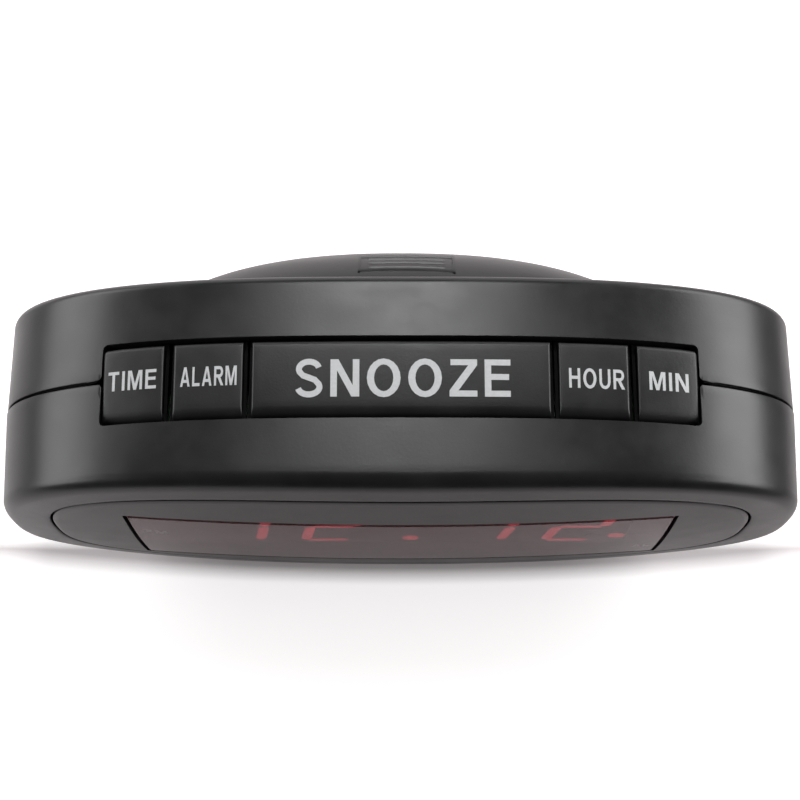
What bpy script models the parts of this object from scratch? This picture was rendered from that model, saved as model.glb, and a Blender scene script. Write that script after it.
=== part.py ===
"""Mains digital alarm clock with an oval case, built as separate parts.

Sizes are in millimetres. Points are (x, y, z) from the middle of the oval case:
+X to the right, -Y towards the display, +Z up. new_object turns them into metres
and lifts them so that the rubber feet stand on z = 0.
"""
import math

import bmesh
import bpy

for old in list(bpy.data.objects):
    bpy.data.objects.remove(old, do_unlink=True)

MM = 0.001
GAP = 0.3                     # clearance between parts that touch

# Case
CASE_HALF_WIDTH = 74.1
CASE_HALF_HEIGHT = 32.6
CASE_EXPONENT = 2.8
BASE_DROP = 31.4              # the flat underside, below the middle of the oval
FOOT_DROP = 1.5               # the feet stand this far below the underside
MID_Z = BASE_DROP + FOOT_DROP
WALL = 2.2
FRONT_TOP_RADIUS = 2.8        # the front edge's radius shrinks from the top to the base
FRONT_BASE_RADIUS = 1.4
BACK_RADIUS = 1.9
FACE_Y = -27.6                # the most forward point of the convex face
SEAM_Y = -5.0
BACK_Y = 13.6
FACE_SCALE = 0.992            # the case is widest at the seam
REAR_SEAM_SCALE = 0.9985
BACK_SCALE = 0.997
FACE_BOW_X = 0.0007           # the face is convex: y rises with x squared and z squared
FACE_BOW_Z = 0.0025
FACE_TOP_Z = 2.1
AROUND = 80

# Transformer dome on the back
DOME_DEPTH = 14.0
DOME_HALF_WIDTH = 50.0
DOME_RISE = 24.0
DOME_SHOULDER_Z = 2.0         # below this height the dome runs straight down to the underside
DOME_EXPONENT = 2.3
DOME_SOFTNESS = 0.2

# Bezel and lens
BEZEL_HALF_WIDTH = 64.4
BEZEL_HALF_HEIGHT = 25.0
BEZEL_EXPONENT = 3.08
BEZEL_GAP = 0.4
BEZEL_PROUD = 0.1
BEZEL_BEVEL = 0.5
FLANGE_REACH = 1.8
FLANGE_THICK = 1.2
LENS_HALF_WIDTH = 49.6
LENS_TOP = 13.0
LENS_BOTTOM = -16.9
LENS_THICK = 1.2

# Keys, from left to right: name, low x, high x
KEYS = (
    ("time", -52.3, -41.4),
    ("alarm", -39.6, -27.4),
    ("snooze", -25.8, 26.0),
    ("hour", 27.5, 39.8),
    ("min", 41.4, 52.3),
)
RECESS_HALF_WIDTH = 52.6
RECESS_FRONT = -13.0
RECESS_BACK = 1.9
KEY_FRONT = -12.5
KEY_BACK = 1.0
KEY_PROUD = 0.2
KEY_THICK = 3.7
KEY_LIP = 1.0                 # the skirt that keeps a key under the case's edge
KEY_SIDE_LIP = 0.6
KEY_LIP_THICK = 0.8
KEY_EDGE_RADIUS = 0.9
KEY_MIDDLE = (KEY_FRONT + KEY_BACK) / 2
KEY_BOARD_TOP = 16.6
SWITCH_SIDE = 6.0
SWITCH_HEIGHT = 3.5
PLUNGER_RADIUS = 1.7
POST_RADIUS = 2.4

# Alarm slide switch on the right end
KNOB_FRONT = -11.0
KNOB_BACK = -6.7
KNOB_BOTTOM = -3.75
KNOB_TOP = 1.25
KNOB_TRAVEL = 2.5
KNOB_OUTER_X = 74.7
SLIDE_BODY_X = (65.8, 71.0)

# Battery compartment, open at the underside, and its door
BAY_X = (-27.0, 27.0)
BAY_Y = (-2.6, 15.4)
BAY_TOP = -1.3
BAY_WALL = 1.5
DOOR_THICK = 2.4
DOOR_PIN_RADIUS = 0.8
DOOR_AXIS = (0.0, BAY_Y[0] + GAP + DOOR_THICK / 2, -BASE_DROP + DOOR_THICK / 2)

# Screws that hold the two housings together, as (x, z)
HOUSING_SCREWS = ((-64.5, 10.0), (64.5, 10.0), (-57.0, -17.0), (57.0, -17.0))
POST_OUTER = 4.0
SCREW_HOLE = 1.7
COUNTERBORE = 3.2
COUNTERBORE_FLOOR = 0.0
FRONT_POST_DEPTH = 12.0
FRONT_HOLE_DEPTH = 12.4

# Feet, as (x, y)
FEET = (
    ("foot_front_left", -37.0, -15.5),
    ("foot_front_right", 37.0, -15.5),
    ("foot_rear_left", -37.0, 15.0),
    ("foot_rear_right", 37.0, 15.0),
)
FOOT_RADIUS = 4.0

# Slots in the underside that let the buzzer's sound out
SOUND_SLOTS = 7
SOUND_SLOT_PITCH = 3.2
SOUND_SLOT_WIDTH = 1.4
SOUND_SLOT_Y = (-20.0, -11.0)

# Circuit boards
BOARD_THICK = 1.6
MAIN_BOARD_Y = -15.4          # its front face
MAIN_BOARD_SCREWS = ((-55.0, 11.0), (55.0, 11.0))
KEY_BOARD_SCREWS_X = (-56.5, 56.5)
KEY_BOARD_SCREW_Y = -9.0
DISPLAY_FRONT_Y = -24.0

# Mains cord inlet in the back
INLET_X = -60.0
INLET_Z = -4.0
INLET_RADIUS = 3.3

COLOURS = {                   # red, green, blue, roughness, metallic
    "case": (0.022, 0.022, 0.023, 0.42, 0.0),
    "bezel": (0.02, 0.02, 0.021, 0.3, 0.0),
    "lens": (0.09, 0.035, 0.04, 0.08, 0.0),
    "key": (0.02, 0.02, 0.021, 0.5, 0.0),
    "rubber": (0.03, 0.03, 0.03, 0.85, 0.0),
    "board": (0.05, 0.16, 0.06, 0.5, 0.0),
    "chip": (0.025, 0.025, 0.028, 0.4, 0.0),
    "display": (0.05, 0.045, 0.05, 0.5, 0.0),
    "steel": (0.55, 0.56, 0.58, 0.3, 1.0),
    "laminations": (0.3, 0.3, 0.32, 0.45, 1.0),
    "coil": (0.45, 0.16, 0.05, 0.5, 0.0),
    "capacitor": (0.05, 0.07, 0.2, 0.35, 0.0),
    "ribbon": (0.4, 0.4, 0.42, 0.5, 0.0),
    "lead_red": (0.5, 0.03, 0.02, 0.5, 0.0),
    "lead_black": (0.02, 0.02, 0.02, 0.5, 0.0),
}


def material(slot):
    found = bpy.data.materials.get(slot)
    if found:
        return found
    made = bpy.data.materials.new(slot)
    made.use_nodes = True
    red, green, blue, roughness, metallic = COLOURS[slot]
    shader = made.node_tree.nodes["Principled BSDF"]
    shader.inputs["Base Color"].default_value = (red, green, blue, 1.0)
    shader.inputs["Roughness"].default_value = roughness
    shader.inputs["Metallic"].default_value = metallic
    return made


def new_object(name, slot, points, faces, origin=(0.0, 0.0, 0.0)):
    """A closed mesh object; origin is the point that it turns or slides about."""
    mesh = bpy.data.meshes.new(name)
    mesh.from_pydata([[(p - o) * MM for p, o in zip(point, origin)] for point in points], [], faces)
    work = bmesh.new()
    work.from_mesh(mesh)
    bmesh.ops.recalc_face_normals(work, faces=work.faces)
    work.to_mesh(mesh)
    work.free()
    mesh.shade_smooth()
    mesh.set_sharp_from_angle(angle=math.radians(35))
    obj = bpy.data.objects.new(name, mesh)
    obj.location = (origin[0] * MM, origin[1] * MM, (origin[2] + MID_Z) * MM)
    bpy.context.scene.collection.objects.link(obj)
    if slot:
        mesh.materials.append(material(slot))
    return obj


def strip(first, second, count):
    """Quads between two rings of count points, given the index of each ring's first point."""
    return [(first + i, first + (i + 1) % count, second + (i + 1) % count, second + i)
            for i in range(count)]


def lofted(name, slot, rings, start=None, end=None, looped=False, origin=(0.0, 0.0, 0.0)):
    """Skins rings of points. start and end are tips that close it; looped joins last to first."""
    count = len(rings[0])
    points = [point for ring in rings for point in ring]
    faces = []
    for k in range(len(rings) - 1):
        faces += strip(k * count, (k + 1) * count, count)
    last = (len(rings) - 1) * count
    if looped:
        faces += strip(last, 0, count)
    elif start and end:
        points += [start, end]
        first_tip, last_tip = len(points) - 2, len(points) - 1
        faces += [(first_tip, (i + 1) % count, i) for i in range(count)]
        faces += [(last_tip, last + i, last + (i + 1) % count) for i in range(count)]
    else:
        faces += [tuple(reversed(range(count))), tuple(last + i for i in range(count))]
    return new_object(name, slot, points, faces, origin)


def disc(centre, radius, axis, sides):
    """A ring of points about centre, in the plane across axis ("X", "Y" or "Z")."""
    ring = []
    for i in range(sides):
        turn = 2 * math.pi * (i + 0.5) / sides
        u, v = radius * math.cos(turn), radius * math.sin(turn)
        offset = {"X": (0, u, v), "Y": (v, 0, u), "Z": (u, v, 0)}[axis]
        ring.append(tuple(c + o for c, o in zip(centre, offset)))
    return ring


def turned(name, slot, centre, axis, profile, sides=20, origin=(0.0, 0.0, 0.0)):
    """A solid of revolution; profile lists (distance along axis, radius)."""
    step = {"X": (1, 0, 0), "Y": (0, 1, 0), "Z": (0, 0, 1)}[axis]
    rings = []
    for along, radius in profile:
        middle = tuple(c + along * s for c, s in zip(centre, step))
        rings.append(disc(middle, radius, axis, sides))
    return lofted(name, slot, rings, origin=origin)


def block(name, slot, low, high, origin=(0.0, 0.0, 0.0)):
    (x0, y0, z0), (x1, y1, z1) = low, high
    rings = [[(x0, y0, z), (x1, y0, z), (x1, y1, z), (x0, y1, z)] for z in (z0, z1)]
    return lofted(name, slot, rings, origin=origin)


def combine(obj, tool, operation):
    """Adds or cuts tool, which becomes a hidden helper."""
    modifier = obj.modifiers.new(tool.name, "BOOLEAN")
    modifier.operation = operation
    modifier.object = tool
    tool.hide_render = True
    tool.display_type = "WIRE"


def add(obj, tool):
    combine(obj, tool, "UNION")


def cut(obj, tool):
    combine(obj, tool, "DIFFERENCE")


def oval(half_width, half_height, exponent, drop=math.inf):
    """(x, z) points of a superellipse, cut off flat at z = -drop."""
    points = []
    for i in range(AROUND):
        turn = 2 * math.pi * i / AROUND
        across, up = math.cos(turn), math.sin(turn)
        x = math.copysign(abs(across) ** (2 / exponent), across) * half_width
        z = math.copysign(abs(up) ** (2 / exponent), up) * half_height
        points.append((x, max(z, -drop)))
    return points


def case_oval(scale=1.0, inset=0.0):
    return oval(CASE_HALF_WIDTH * scale - inset, CASE_HALF_HEIGHT * scale - inset,
                CASE_EXPONENT, BASE_DROP - inset)


def case_top(x):
    """Height of the case's top surface at x, near the seam."""
    across = abs(x) / CASE_HALF_WIDTH
    return CASE_HALF_HEIGHT * (1 - across ** CASE_EXPONENT) ** (1 / CASE_EXPONENT)


def case_side(z):
    """Half-width of the case at height z, near the seam."""
    up = abs(z) / CASE_HALF_HEIGHT
    return CASE_HALF_WIDTH * (1 - up ** CASE_EXPONENT) ** (1 / CASE_EXPONENT)


def face_y(x, z):
    """Depth of the convex front face."""
    return FACE_Y + FACE_BOW_X * x * x + FACE_BOW_Z * (z - FACE_TOP_Z) ** 2


def back_y(x, z, inset=0.0):
    """Depth of the back, with the transformer dome; inset gives the inside of the wall."""
    across = abs(x / (DOME_HALF_WIDTH - inset)) ** DOME_EXPONENT
    up = (max(0.0, z - DOME_SHOULDER_Z) / (DOME_RISE - inset)) ** 2
    inside = max(0.0, 1 - across - up)
    soft = DOME_SOFTNESS
    height = (math.sqrt(inside + soft ** 2) - soft) / (math.sqrt(1 + soft ** 2) - soft)
    return BACK_Y - inset + DOME_DEPTH * height


def on_face(outline, depth):
    """The outline laid on the convex face, depth behind it."""
    return [(x, face_y(x, z) + depth, z) for x, z in outline]


def at_y(outline, y):
    return [(x, y, z) for x, z in outline]


def fillet_steps(steps=4):
    """Pairs (inset, depth) round a quarter circle of radius 1, from the side to the face."""
    turns = [math.pi / 2 * i / steps for i in range(steps + 1)]
    return [(1 - math.cos(t), 1 - math.sin(t)) for t in turns]


def front_edge_radius(z):
    up = (z + BASE_DROP) / (CASE_HALF_HEIGHT + BASE_DROP)
    return FRONT_BASE_RADIUS + (FRONT_TOP_RADIUS - FRONT_BASE_RADIUS) * up


def front_edge_rings():
    """Rings round the front edge, from the side of the case to its face."""
    outer, inner = case_oval(FACE_SCALE), case_oval(FACE_SCALE, 1.0)
    rings = []
    for inset, depth in fillet_steps():
        ring = []
        for (x, z), (inner_x, inner_z) in zip(outer, inner):
            radius = front_edge_radius(z)
            edge_x = x + (inner_x - x) * inset * radius
            edge_z = z + (inner_z - z) * inset * radius
            ring.append((edge_x, face_y(edge_x, edge_z) + depth * radius, edge_z))
        rings.append(ring)
    return rings


def shrunk(outline, factor):
    return [(x * factor, z * factor) for x, z in outline]


# --- Housings ---------------------------------------------------------------------------

def key_recess(name, low_y, high_y):
    """Cutter for the opening that the keys stand in."""
    return block(name, None, (-RECESS_HALF_WIDTH, low_y, 18.0), (RECESS_HALF_WIDTH, high_y, 40.0))


def make_front_housing():
    rings = [at_y(case_oval(), SEAM_Y)] + front_edge_rings()
    opening = oval(BEZEL_HALF_WIDTH + BEZEL_GAP, BEZEL_HALF_HEIGHT + BEZEL_GAP, BEZEL_EXPONENT)
    rings.append(on_face(opening, 0.0))
    rings.append(on_face(opening, WALL))
    rings.append(on_face(case_oval(FACE_SCALE, WALL), WALL))
    rings.append(at_y(case_oval(inset=WALL), SEAM_Y))
    housing = lofted("front_housing", "case", rings, looped=True)

    cut(housing, key_recess("front_recess_cutter", RECESS_FRONT, SEAM_Y + 5))
    for i, (x, z) in enumerate(HOUSING_SCREWS):
        post = (x, SEAM_Y - GAP, z)
        add(housing, turned(f"front_post_{i}", None, post, "Y",
                            ((0, POST_OUTER), (-FRONT_POST_DEPTH, POST_OUTER))))
        add(housing, post_rib(f"front_rib_{i}", x, z))
    for i, (x, z) in enumerate(HOUSING_SCREWS):
        hole = (x, SEAM_Y + 1, z)
        cut(housing, turned(f"front_hole_{i}", None, hole, "Y",
                            ((0, SCREW_HOLE), (-FRONT_HOLE_DEPTH, SCREW_HOLE)), 16))
    for name, x, y in FEET[:2]:
        add(housing, foot_pad(name, x, y))
    for i in range(SOUND_SLOTS):
        x = SOUND_SLOT_PITCH * (i - (SOUND_SLOTS - 1) / 2)
        low_y, high_y = SOUND_SLOT_Y
        cut(housing, block(f"sound_slot_{i}", None, (x - SOUND_SLOT_WIDTH / 2, low_y, -BASE_DROP - 2),
                           (x + SOUND_SLOT_WIDTH / 2, high_y, -BASE_DROP + 2 * WALL)))
    for i, x in enumerate(KEY_BOARD_SCREWS_X):
        roof = case_top(x) - WALL / 2
        top = (x, KEY_BOARD_SCREW_Y, KEY_BOARD_TOP + GAP)
        add(housing, turned(f"key_board_boss_{i}", None, top, "Z",
                            ((0, 2.2), (roof - top[2], 2.2)), 16))
        cut(housing, turned(f"key_board_hole_{i}", None, top, "Z", ((-1, 1.2), (4.5, 1.2)), 12))
    cut(housing, block("knob_slot", None,
                       (60.0, KNOB_FRONT - GAP, KNOB_BOTTOM - GAP),
                       (80.0, KNOB_BACK + GAP, KNOB_TOP + KNOB_TRAVEL + GAP)))
    return housing


def post_rib(name, x, z):
    """Rib that ties a front post to the nearest wall: the side for an upper post, else the bottom."""
    low_y, high_y = SEAM_Y - FRONT_POST_DEPTH, SEAM_Y - GAP - 0.2
    if z > 0:
        wall_x = math.copysign(case_side(z + 1) - WALL / 2, x)
        return block(name, None, (min(x, wall_x), low_y, z - 1), (max(x, wall_x), high_y, z + 1))
    return block(name, None, (x - 1, low_y, WALL / 2 - case_top(x)), (x + 1, high_y, z))


def foot_pad(name, x, y):
    """Flat round pad under the case that a rubber foot sticks to."""
    return turned(name + "_pad", None, (x, y, -BASE_DROP), "Z",
                  ((0, FOOT_RADIUS + 1), (4.0, FOOT_RADIUS + 1)), 24)


def make_rear_housing():
    seam = SEAM_Y + GAP / 2
    inner_back = case_oval(BACK_SCALE, WALL)
    steps = (0.12, 0.3, 0.45, 0.58, 0.7, 0.8, 0.9)
    rings = [[(x, back_y(x, z, WALL), z) for x, z in shrunk(inner_back, s)] for s in steps + (1.0,)]
    rings.append(at_y(case_oval(REAR_SEAM_SCALE, WALL), seam))
    rings.append(at_y(case_oval(REAR_SEAM_SCALE), seam))
    edge = case_oval(BACK_SCALE, BACK_RADIUS)
    for inset, depth in fillet_steps():
        outline = case_oval(BACK_SCALE, inset * BACK_RADIUS)
        rings.append([(x, back_y(*near) - depth * BACK_RADIUS, z) for (x, z), near in zip(outline, edge)])
    rings += [[(x, back_y(x, z), z) for x, z in shrunk(edge, s)] for s in reversed(steps)]
    housing = lofted("rear_housing", "case", rings,
                     start=(0.0, back_y(0, 0, WALL), 0.0), end=(0.0, back_y(0, 0), 0.0))

    cut(housing, key_recess("rear_recess_cutter", SEAM_Y - 5, RECESS_BACK))
    (x0, x1), (y0, y1) = BAY_X, BAY_Y
    wall = BAY_WALL
    add(housing, block("bay_walls", None, (x0 - wall, y0 - wall, -BASE_DROP + 0.4),
                       (x1 + wall, y1 + wall, BAY_TOP + wall)))
    cut(housing, block("bay_cutter", None, (x0, y0, -BASE_DROP - 5), (x1, y1, BAY_TOP)))
    cut(housing, turned("door_pin_holes", None, (x0 - wall / 1.25, DOOR_AXIS[1], DOOR_AXIS[2]), "X",
                        ((0, DOOR_PIN_RADIUS + GAP), (x1 - x0 + 2 * wall / 1.25, DOOR_PIN_RADIUS + GAP)),
                        16))
    cut(housing, block("lead_notch", None, (x0 + 1.0, y0 - 4, BAY_TOP - 5), (x0 + 5.0, y0 + 2, BAY_TOP - 1)))
    for i, (x, z) in enumerate(HOUSING_SCREWS):
        post = (x, seam + GAP / 2, z)
        add(housing, turned(f"rear_post_{i}", None, post, "Y",
                            ((0, POST_OUTER), (BACK_Y - 1 - post[1], POST_OUTER))))
    for i, (x, z) in enumerate(HOUSING_SCREWS):
        cut(housing, turned(f"rear_counterbore_{i}", None, (x, COUNTERBORE_FLOOR, z), "Y",
                            ((0, COUNTERBORE), (20, COUNTERBORE))))
        cut(housing, turned(f"rear_hole_{i}", None, (x, SEAM_Y - 3, z), "Y",
                            ((0, SCREW_HOLE), (COUNTERBORE_FLOOR + 4 - SEAM_Y, SCREW_HOLE)), 16))
    for name, x, y in FEET[2:]:
        add(housing, foot_pad(name, x, y))
    cut(housing, turned("inlet_hole", None, (INLET_X, BACK_Y - 8, INLET_Z), "Y",
                        ((0, INLET_RADIUS + GAP), (16, INLET_RADIUS + GAP))))
    return housing


# --- Front: bezel and lens --------------------------------------------------------------

def make_bezel():
    body = oval(BEZEL_HALF_WIDTH, BEZEL_HALF_HEIGHT, BEZEL_EXPONENT)
    bevelled = oval(BEZEL_HALF_WIDTH - BEZEL_BEVEL, BEZEL_HALF_HEIGHT - BEZEL_BEVEL, BEZEL_EXPONENT)
    flange = oval(BEZEL_HALF_WIDTH + FLANGE_REACH, BEZEL_HALF_HEIGHT + FLANGE_REACH, BEZEL_EXPONENT)
    steps = (0.25, 0.5, 0.75)
    shelf = WALL + GAP
    rings = [on_face(shrunk(bevelled, s), -BEZEL_PROUD) for s in steps]
    rings.append(on_face(bevelled, -BEZEL_PROUD))
    rings.append(on_face(body, 0.4))
    rings.append(on_face(body, shelf))
    rings.append(on_face(flange, shelf))
    rings.append(on_face(flange, shelf + FLANGE_THICK))
    rings += [on_face(shrunk(bevelled, s), shelf + FLANGE_THICK) for s in reversed(steps)]
    bezel = lofted("front_bezel", "bezel", rings,
                   start=(0.0, face_y(0, 0) - BEZEL_PROUD, 0.0),
                   end=(0.0, face_y(0, 0) + shelf + FLANGE_THICK, 0.0))
    for i, (x, z) in enumerate(MAIN_BOARD_SCREWS):
        top = (x, MAIN_BOARD_Y - GAP, z)
        depth = face_y(x, z) + shelf + FLANGE_THICK / 2 - top[1]
        add(bezel, turned(f"board_boss_{i}", None, top, "Y", ((0, 2.6), (depth, 2.6)), 16))
        cut(bezel, turned(f"board_hole_{i}", None, top, "Y", ((1, 1.3), (-4.5, 1.3)), 12))
    half = LENS_HALF_WIDTH + GAP
    cut(bezel, block("window_cutter", None, (-half, -40, LENS_BOTTOM - GAP), (half, -18, LENS_TOP + GAP)))
    return bezel


def curved_slab(name, slot, half_width, bottom, top, front, back):
    """A plate that follows the face, between two depths behind it."""
    columns, rows = 12, 4
    corners = []
    for i in range(columns + 1):
        x = half_width * (2 * i / columns - 1)
        lower = [(x, bottom + (top - bottom) * j / rows) for j in range(rows + 1)]
        ring = [(x, face_y(x, z) + front, z) for x, z in lower]
        ring += [(x, face_y(x, z) + back, z) for x, z in reversed(lower)]
        corners.append(ring)
    return lofted(name, slot, corners)


def make_lens():
    return curved_slab("display_lens", "lens", LENS_HALF_WIDTH, LENS_BOTTOM, LENS_TOP,
                       -BEZEL_PROUD, LENS_THICK - BEZEL_PROUD)


# --- Keys -------------------------------------------------------------------------------

def key_section(x):
    """The rounded cap's outline across the clock at x."""
    top = case_top(x) + KEY_PROUD
    bottom = top - KEY_THICK + KEY_LIP_THICK / 2
    turns = [math.pi / 2 * i / 3 for i in range(4)]
    corner = [(KEY_EDGE_RADIUS * (1 - math.cos(t)), KEY_EDGE_RADIUS * (1 - math.sin(t))) for t in turns]
    section = [(KEY_FRONT, bottom)]
    section += [(KEY_FRONT + along, top - down) for along, down in corner]
    section += [(KEY_BACK - along, top - down) for along, down in reversed(corner)]
    section.append((KEY_BACK, bottom))
    return [(x, y, z) for y, z in section]


def skirt_section(x):
    """The thin skirt round the foot of the cap."""
    bottom = case_top(x) + KEY_PROUD - KEY_THICK
    front, back = KEY_FRONT - KEY_LIP, KEY_BACK + KEY_LIP
    return [(x, y, z) for y, z in ((front, bottom), (front, bottom + KEY_LIP_THICK),
                                   (back, bottom + KEY_LIP_THICK), (back, bottom))]


def spaced(low, high, spans):
    return [low + (high - low) * i / spans for i in range(spans + 1)]


def make_key(name, low_x, high_x):
    """A key cap with its post, and the tact switch that it presses."""
    middle = (low_x + high_x) / 2
    origin = (middle, KEY_MIDDLE, case_top(middle))
    spans = 10 if high_x - low_x > 20 else 3
    cap = [key_section(x) for x in spaced(low_x, high_x, spans)]
    skirt = [skirt_section(x) for x in spaced(low_x - KEY_SIDE_LIP, high_x + KEY_SIDE_LIP, spans)]
    key = lofted(f"button_{name}", "key", cap, origin=origin)
    add(key, lofted(f"skirt_{name}", None, skirt))
    switch_top = KEY_BOARD_TOP + GAP + SWITCH_HEIGHT
    plunger_top = switch_top + 1.2
    cap_bottom = case_top(middle) + KEY_PROUD - KEY_THICK
    foot = (middle, KEY_MIDDLE, plunger_top + GAP)
    height = cap_bottom + 1.5 - foot[2]
    add(key, turned(f"post_{name}", None, foot, "Z", ((0, POST_RADIUS), (height, POST_RADIUS))))

    half = SWITCH_SIDE / 2
    base = KEY_BOARD_TOP + GAP
    body = block(f"switch_{name}", "chip", (middle - half, KEY_MIDDLE - half, base),
                 (middle + half, KEY_MIDDLE + half, switch_top))
    cut(body, turned(f"switch_hole_{name}", None, (middle, KEY_MIDDLE, switch_top - 2.6), "Z",
                     ((0, PLUNGER_RADIUS + GAP), (4, PLUNGER_RADIUS + GAP)), 16))
    turned(f"switch_plunger_{name}", "steel", (middle, KEY_MIDDLE, switch_top - 1.2), "Z",
           ((0, PLUNGER_RADIUS), (2.4, PLUNGER_RADIUS)), 16, origin=origin)


# --- Side switch ------------------------------------------------------------------------

def make_alarm_switch():
    middle = (KNOB_OUTER_X, (KNOB_FRONT + KNOB_BACK) / 2, (KNOB_BOTTOM + KNOB_TOP) / 2)
    block("alarm_switch_knob", "key", (SLIDE_BODY_X[1] + GAP, KNOB_FRONT, KNOB_BOTTOM),
          (KNOB_OUTER_X, KNOB_BACK, KNOB_TOP), origin=middle)
    block("slide_switch_body", "steel", (SLIDE_BODY_X[0], -12.6, -5.8), (SLIDE_BODY_X[1], -5.6, 5.8))


# --- Underside: feet and battery door ---------------------------------------------------

def make_feet():
    for name, x, y in FEET:
        turned(name, "rubber", (x, y, -MID_Z), "Z",
               ((0, FOOT_RADIUS - 0.4), (0.4, FOOT_RADIUS), (FOOT_DROP - GAP, FOOT_RADIUS)), 24)


def make_battery_door():
    """A plate whose front edge is round about the hinge axis, with a pin at each end."""
    axis_y, axis_z = DOOR_AXIS[1], DOOR_AXIS[2]
    half = DOOR_THICK / 2
    rear = BAY_Y[1] - GAP
    turns = [math.pi / 2 + math.pi * i / 8 for i in range(9)]
    section = [(rear, axis_z - half), (rear, axis_z + half)]
    section += [(axis_y + half * math.cos(t), axis_z + half * math.sin(t)) for t in turns]
    low, high = BAY_X[0] + GAP, BAY_X[1] - GAP
    rings = [[(x, y, z) for y, z in section] for x in (low, high)]
    door = lofted("battery_door", "case", rings, origin=DOOR_AXIS)
    pin = (low - 0.8, axis_y, axis_z)
    add(door, turned("door_pins", None, pin, "X",
                     ((0, DOOR_PIN_RADIUS), (high - low + 1.6, DOOR_PIN_RADIUS)), 12))
    cut(door, turned("door_finger_notch", None, (-6.0, rear - 2.2, -BASE_DROP), "X",
                     ((0, 1.2), (12.0, 1.2)), 16))


# --- Inside -----------------------------------------------------------------------------

def make_boards():
    y0, y1 = MAIN_BOARD_Y, MAIN_BOARD_Y + BOARD_THICK
    board = block("main_pcb", "board", (-59.0, y0, -17.0), (59.0, y1, 14.0))
    for i, (x, z) in enumerate(MAIN_BOARD_SCREWS):
        cut(board, turned(f"main_pcb_hole_{i}", None, (x, y0 - 2, z), "Y", ((0, 1.5), (6, 1.5)), 12))
        side = "left" if x < 0 else "right"
        turned(f"main_pcb_screw_{side}", "steel", (x, y1 + GAP, z), "Y",
               ((1.6, 2.3), (0, 2.3), (0, 1.0), (-6.0, 1.0)), 12)
        corner_x = sorted((math.copysign(53.0, x), math.copysign(70.0, x)))
        cut(board, block(f"main_pcb_corner_{side}", None,
                         (corner_x[0], y0 - 2, -20.0), (corner_x[1], y1 + 2, -13.0)))
    top = KEY_BOARD_TOP
    board = block("key_pcb", "board", (-59.0, -12.6, top - BOARD_THICK), (59.0, 0.6, top))
    for x in KEY_BOARD_SCREWS_X:
        side = "left" if x < 0 else "right"
        centre = (x, KEY_BOARD_SCREW_Y, top - BOARD_THICK)
        cut(board, turned(f"key_pcb_hole_{side}", None, centre, "Z", ((-2, 1.5), (6, 1.5)), 12))
        turned(f"key_pcb_screw_{side}", "steel", centre, "Z",
               ((-GAP - 1.6, 2.2), (-GAP, 2.2), (-GAP, 0.9), (5.6, 0.9)), 12)


def make_display():
    back = MAIN_BOARD_Y - GAP
    block("display_module", "display", (-42.5, DISPLAY_FRONT_Y, -15.0), (43.5, back, 8.0))


def make_electronics():
    y = MAIN_BOARD_Y + BOARD_THICK + GAP
    block("clock_chip", "chip", (-8.0, y, -12.0), (28.0, y + 4.0, 1.5))
    turned("capacitor_large", "capacitor", (-42.0, y, -1.0), "Y", ((0, 5.0), (9.4, 5.0), (10.0, 4.4)), 20)
    turned("capacitor_small", "capacitor", (-30.0, y, -12.0), "Y", ((0, 2.5), (5.6, 2.5), (6.0, 2.1)), 16)
    turned("buzzer", "chip", (44.0, y, 0.0), "Y", ((0, 6.0), (8.5, 6.0)), 24)


def make_ribbon():
    """Flat cable that bends a quarter turn from the main board up to the key board."""
    y = MAIN_BOARD_Y + BOARD_THICK + GAP
    top = KEY_BOARD_TOP - BOARD_THICK - GAP
    outer, thick = 6.0, 0.8
    rings = []
    for i in range(9):
        turn = math.pi / 2 * i / 8
        corners = []
        for radius in (outer, outer - thick):
            corners.append((y + radius * math.sin(turn), top - radius * math.cos(turn)))
        (ya, za), (yb, zb) = corners
        rings.append([(-26.0, ya, za), (-12.0, ya, za), (-12.0, yb, zb), (-26.0, yb, zb)])
    lofted("ribbon_cable", "ribbon", rings)


def make_transformer():
    """Laminated core with two windows, and the coil wound on its middle leg."""
    core = block("transformer_core", "laminations", (-14.0, 4.4, 1.2), (14.0, 15.0, 20.0))
    for i, x in enumerate((-9.5, 4.5)):
        cut(core, block(f"core_window_{i}", None, (x, -5.0, 4.6), (x + 5.0, 25.0, 16.6)))
    coil = block("transformer_coil", "coil", (-9.2, 1.2, 4.9), (9.2, 18.2, 16.3))
    cut(coil, block("coil_window", None, (-4.8, 4.1, -5.0), (4.8, 15.3, 25.0)))


def make_battery_snap():
    """Snap connector that stands in the compartment's left end, and its two leads."""
    x = BAY_X[0] + GAP
    snap = block("battery_snap", "chip", (x, BAY_Y[0] + 1.0, -24.0), (x + 1.6, BAY_Y[1] - 1.0, -8.5))
    for i, (z, radius) in enumerate(((-20.0, 2.8), (-12.6, 2.2))):
        add(snap, turned(f"snap_stud_{i}", None, (x + 0.8, 6.4, z), "X", ((0, radius), (3.2, radius)), 12))
    for name, step, end_x in (("red", 0.0, -17.0), ("black", 1.5, -12.0)):
        notch_x = x + 1.8 + step
        lead(f"battery_lead_{name}", f"lead_{name}", (
            (x + 0.8, 1.2 + 2.4 * step, -7.6),
            (x + 0.9 + step / 3, 0.8 + 2.2 * step, -6.0),
            (notch_x, -1.0 + step, -4.3),
            (notch_x + 0.2, -3.4, -4.3),
            (notch_x + 1.0, -6.5, -6.0),
            (end_x - 3.0, -9.4, -11.0),
            (end_x - 0.6, -11.0, -14.0),
            (end_x, -12.9, -14.6),
        ))


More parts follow.
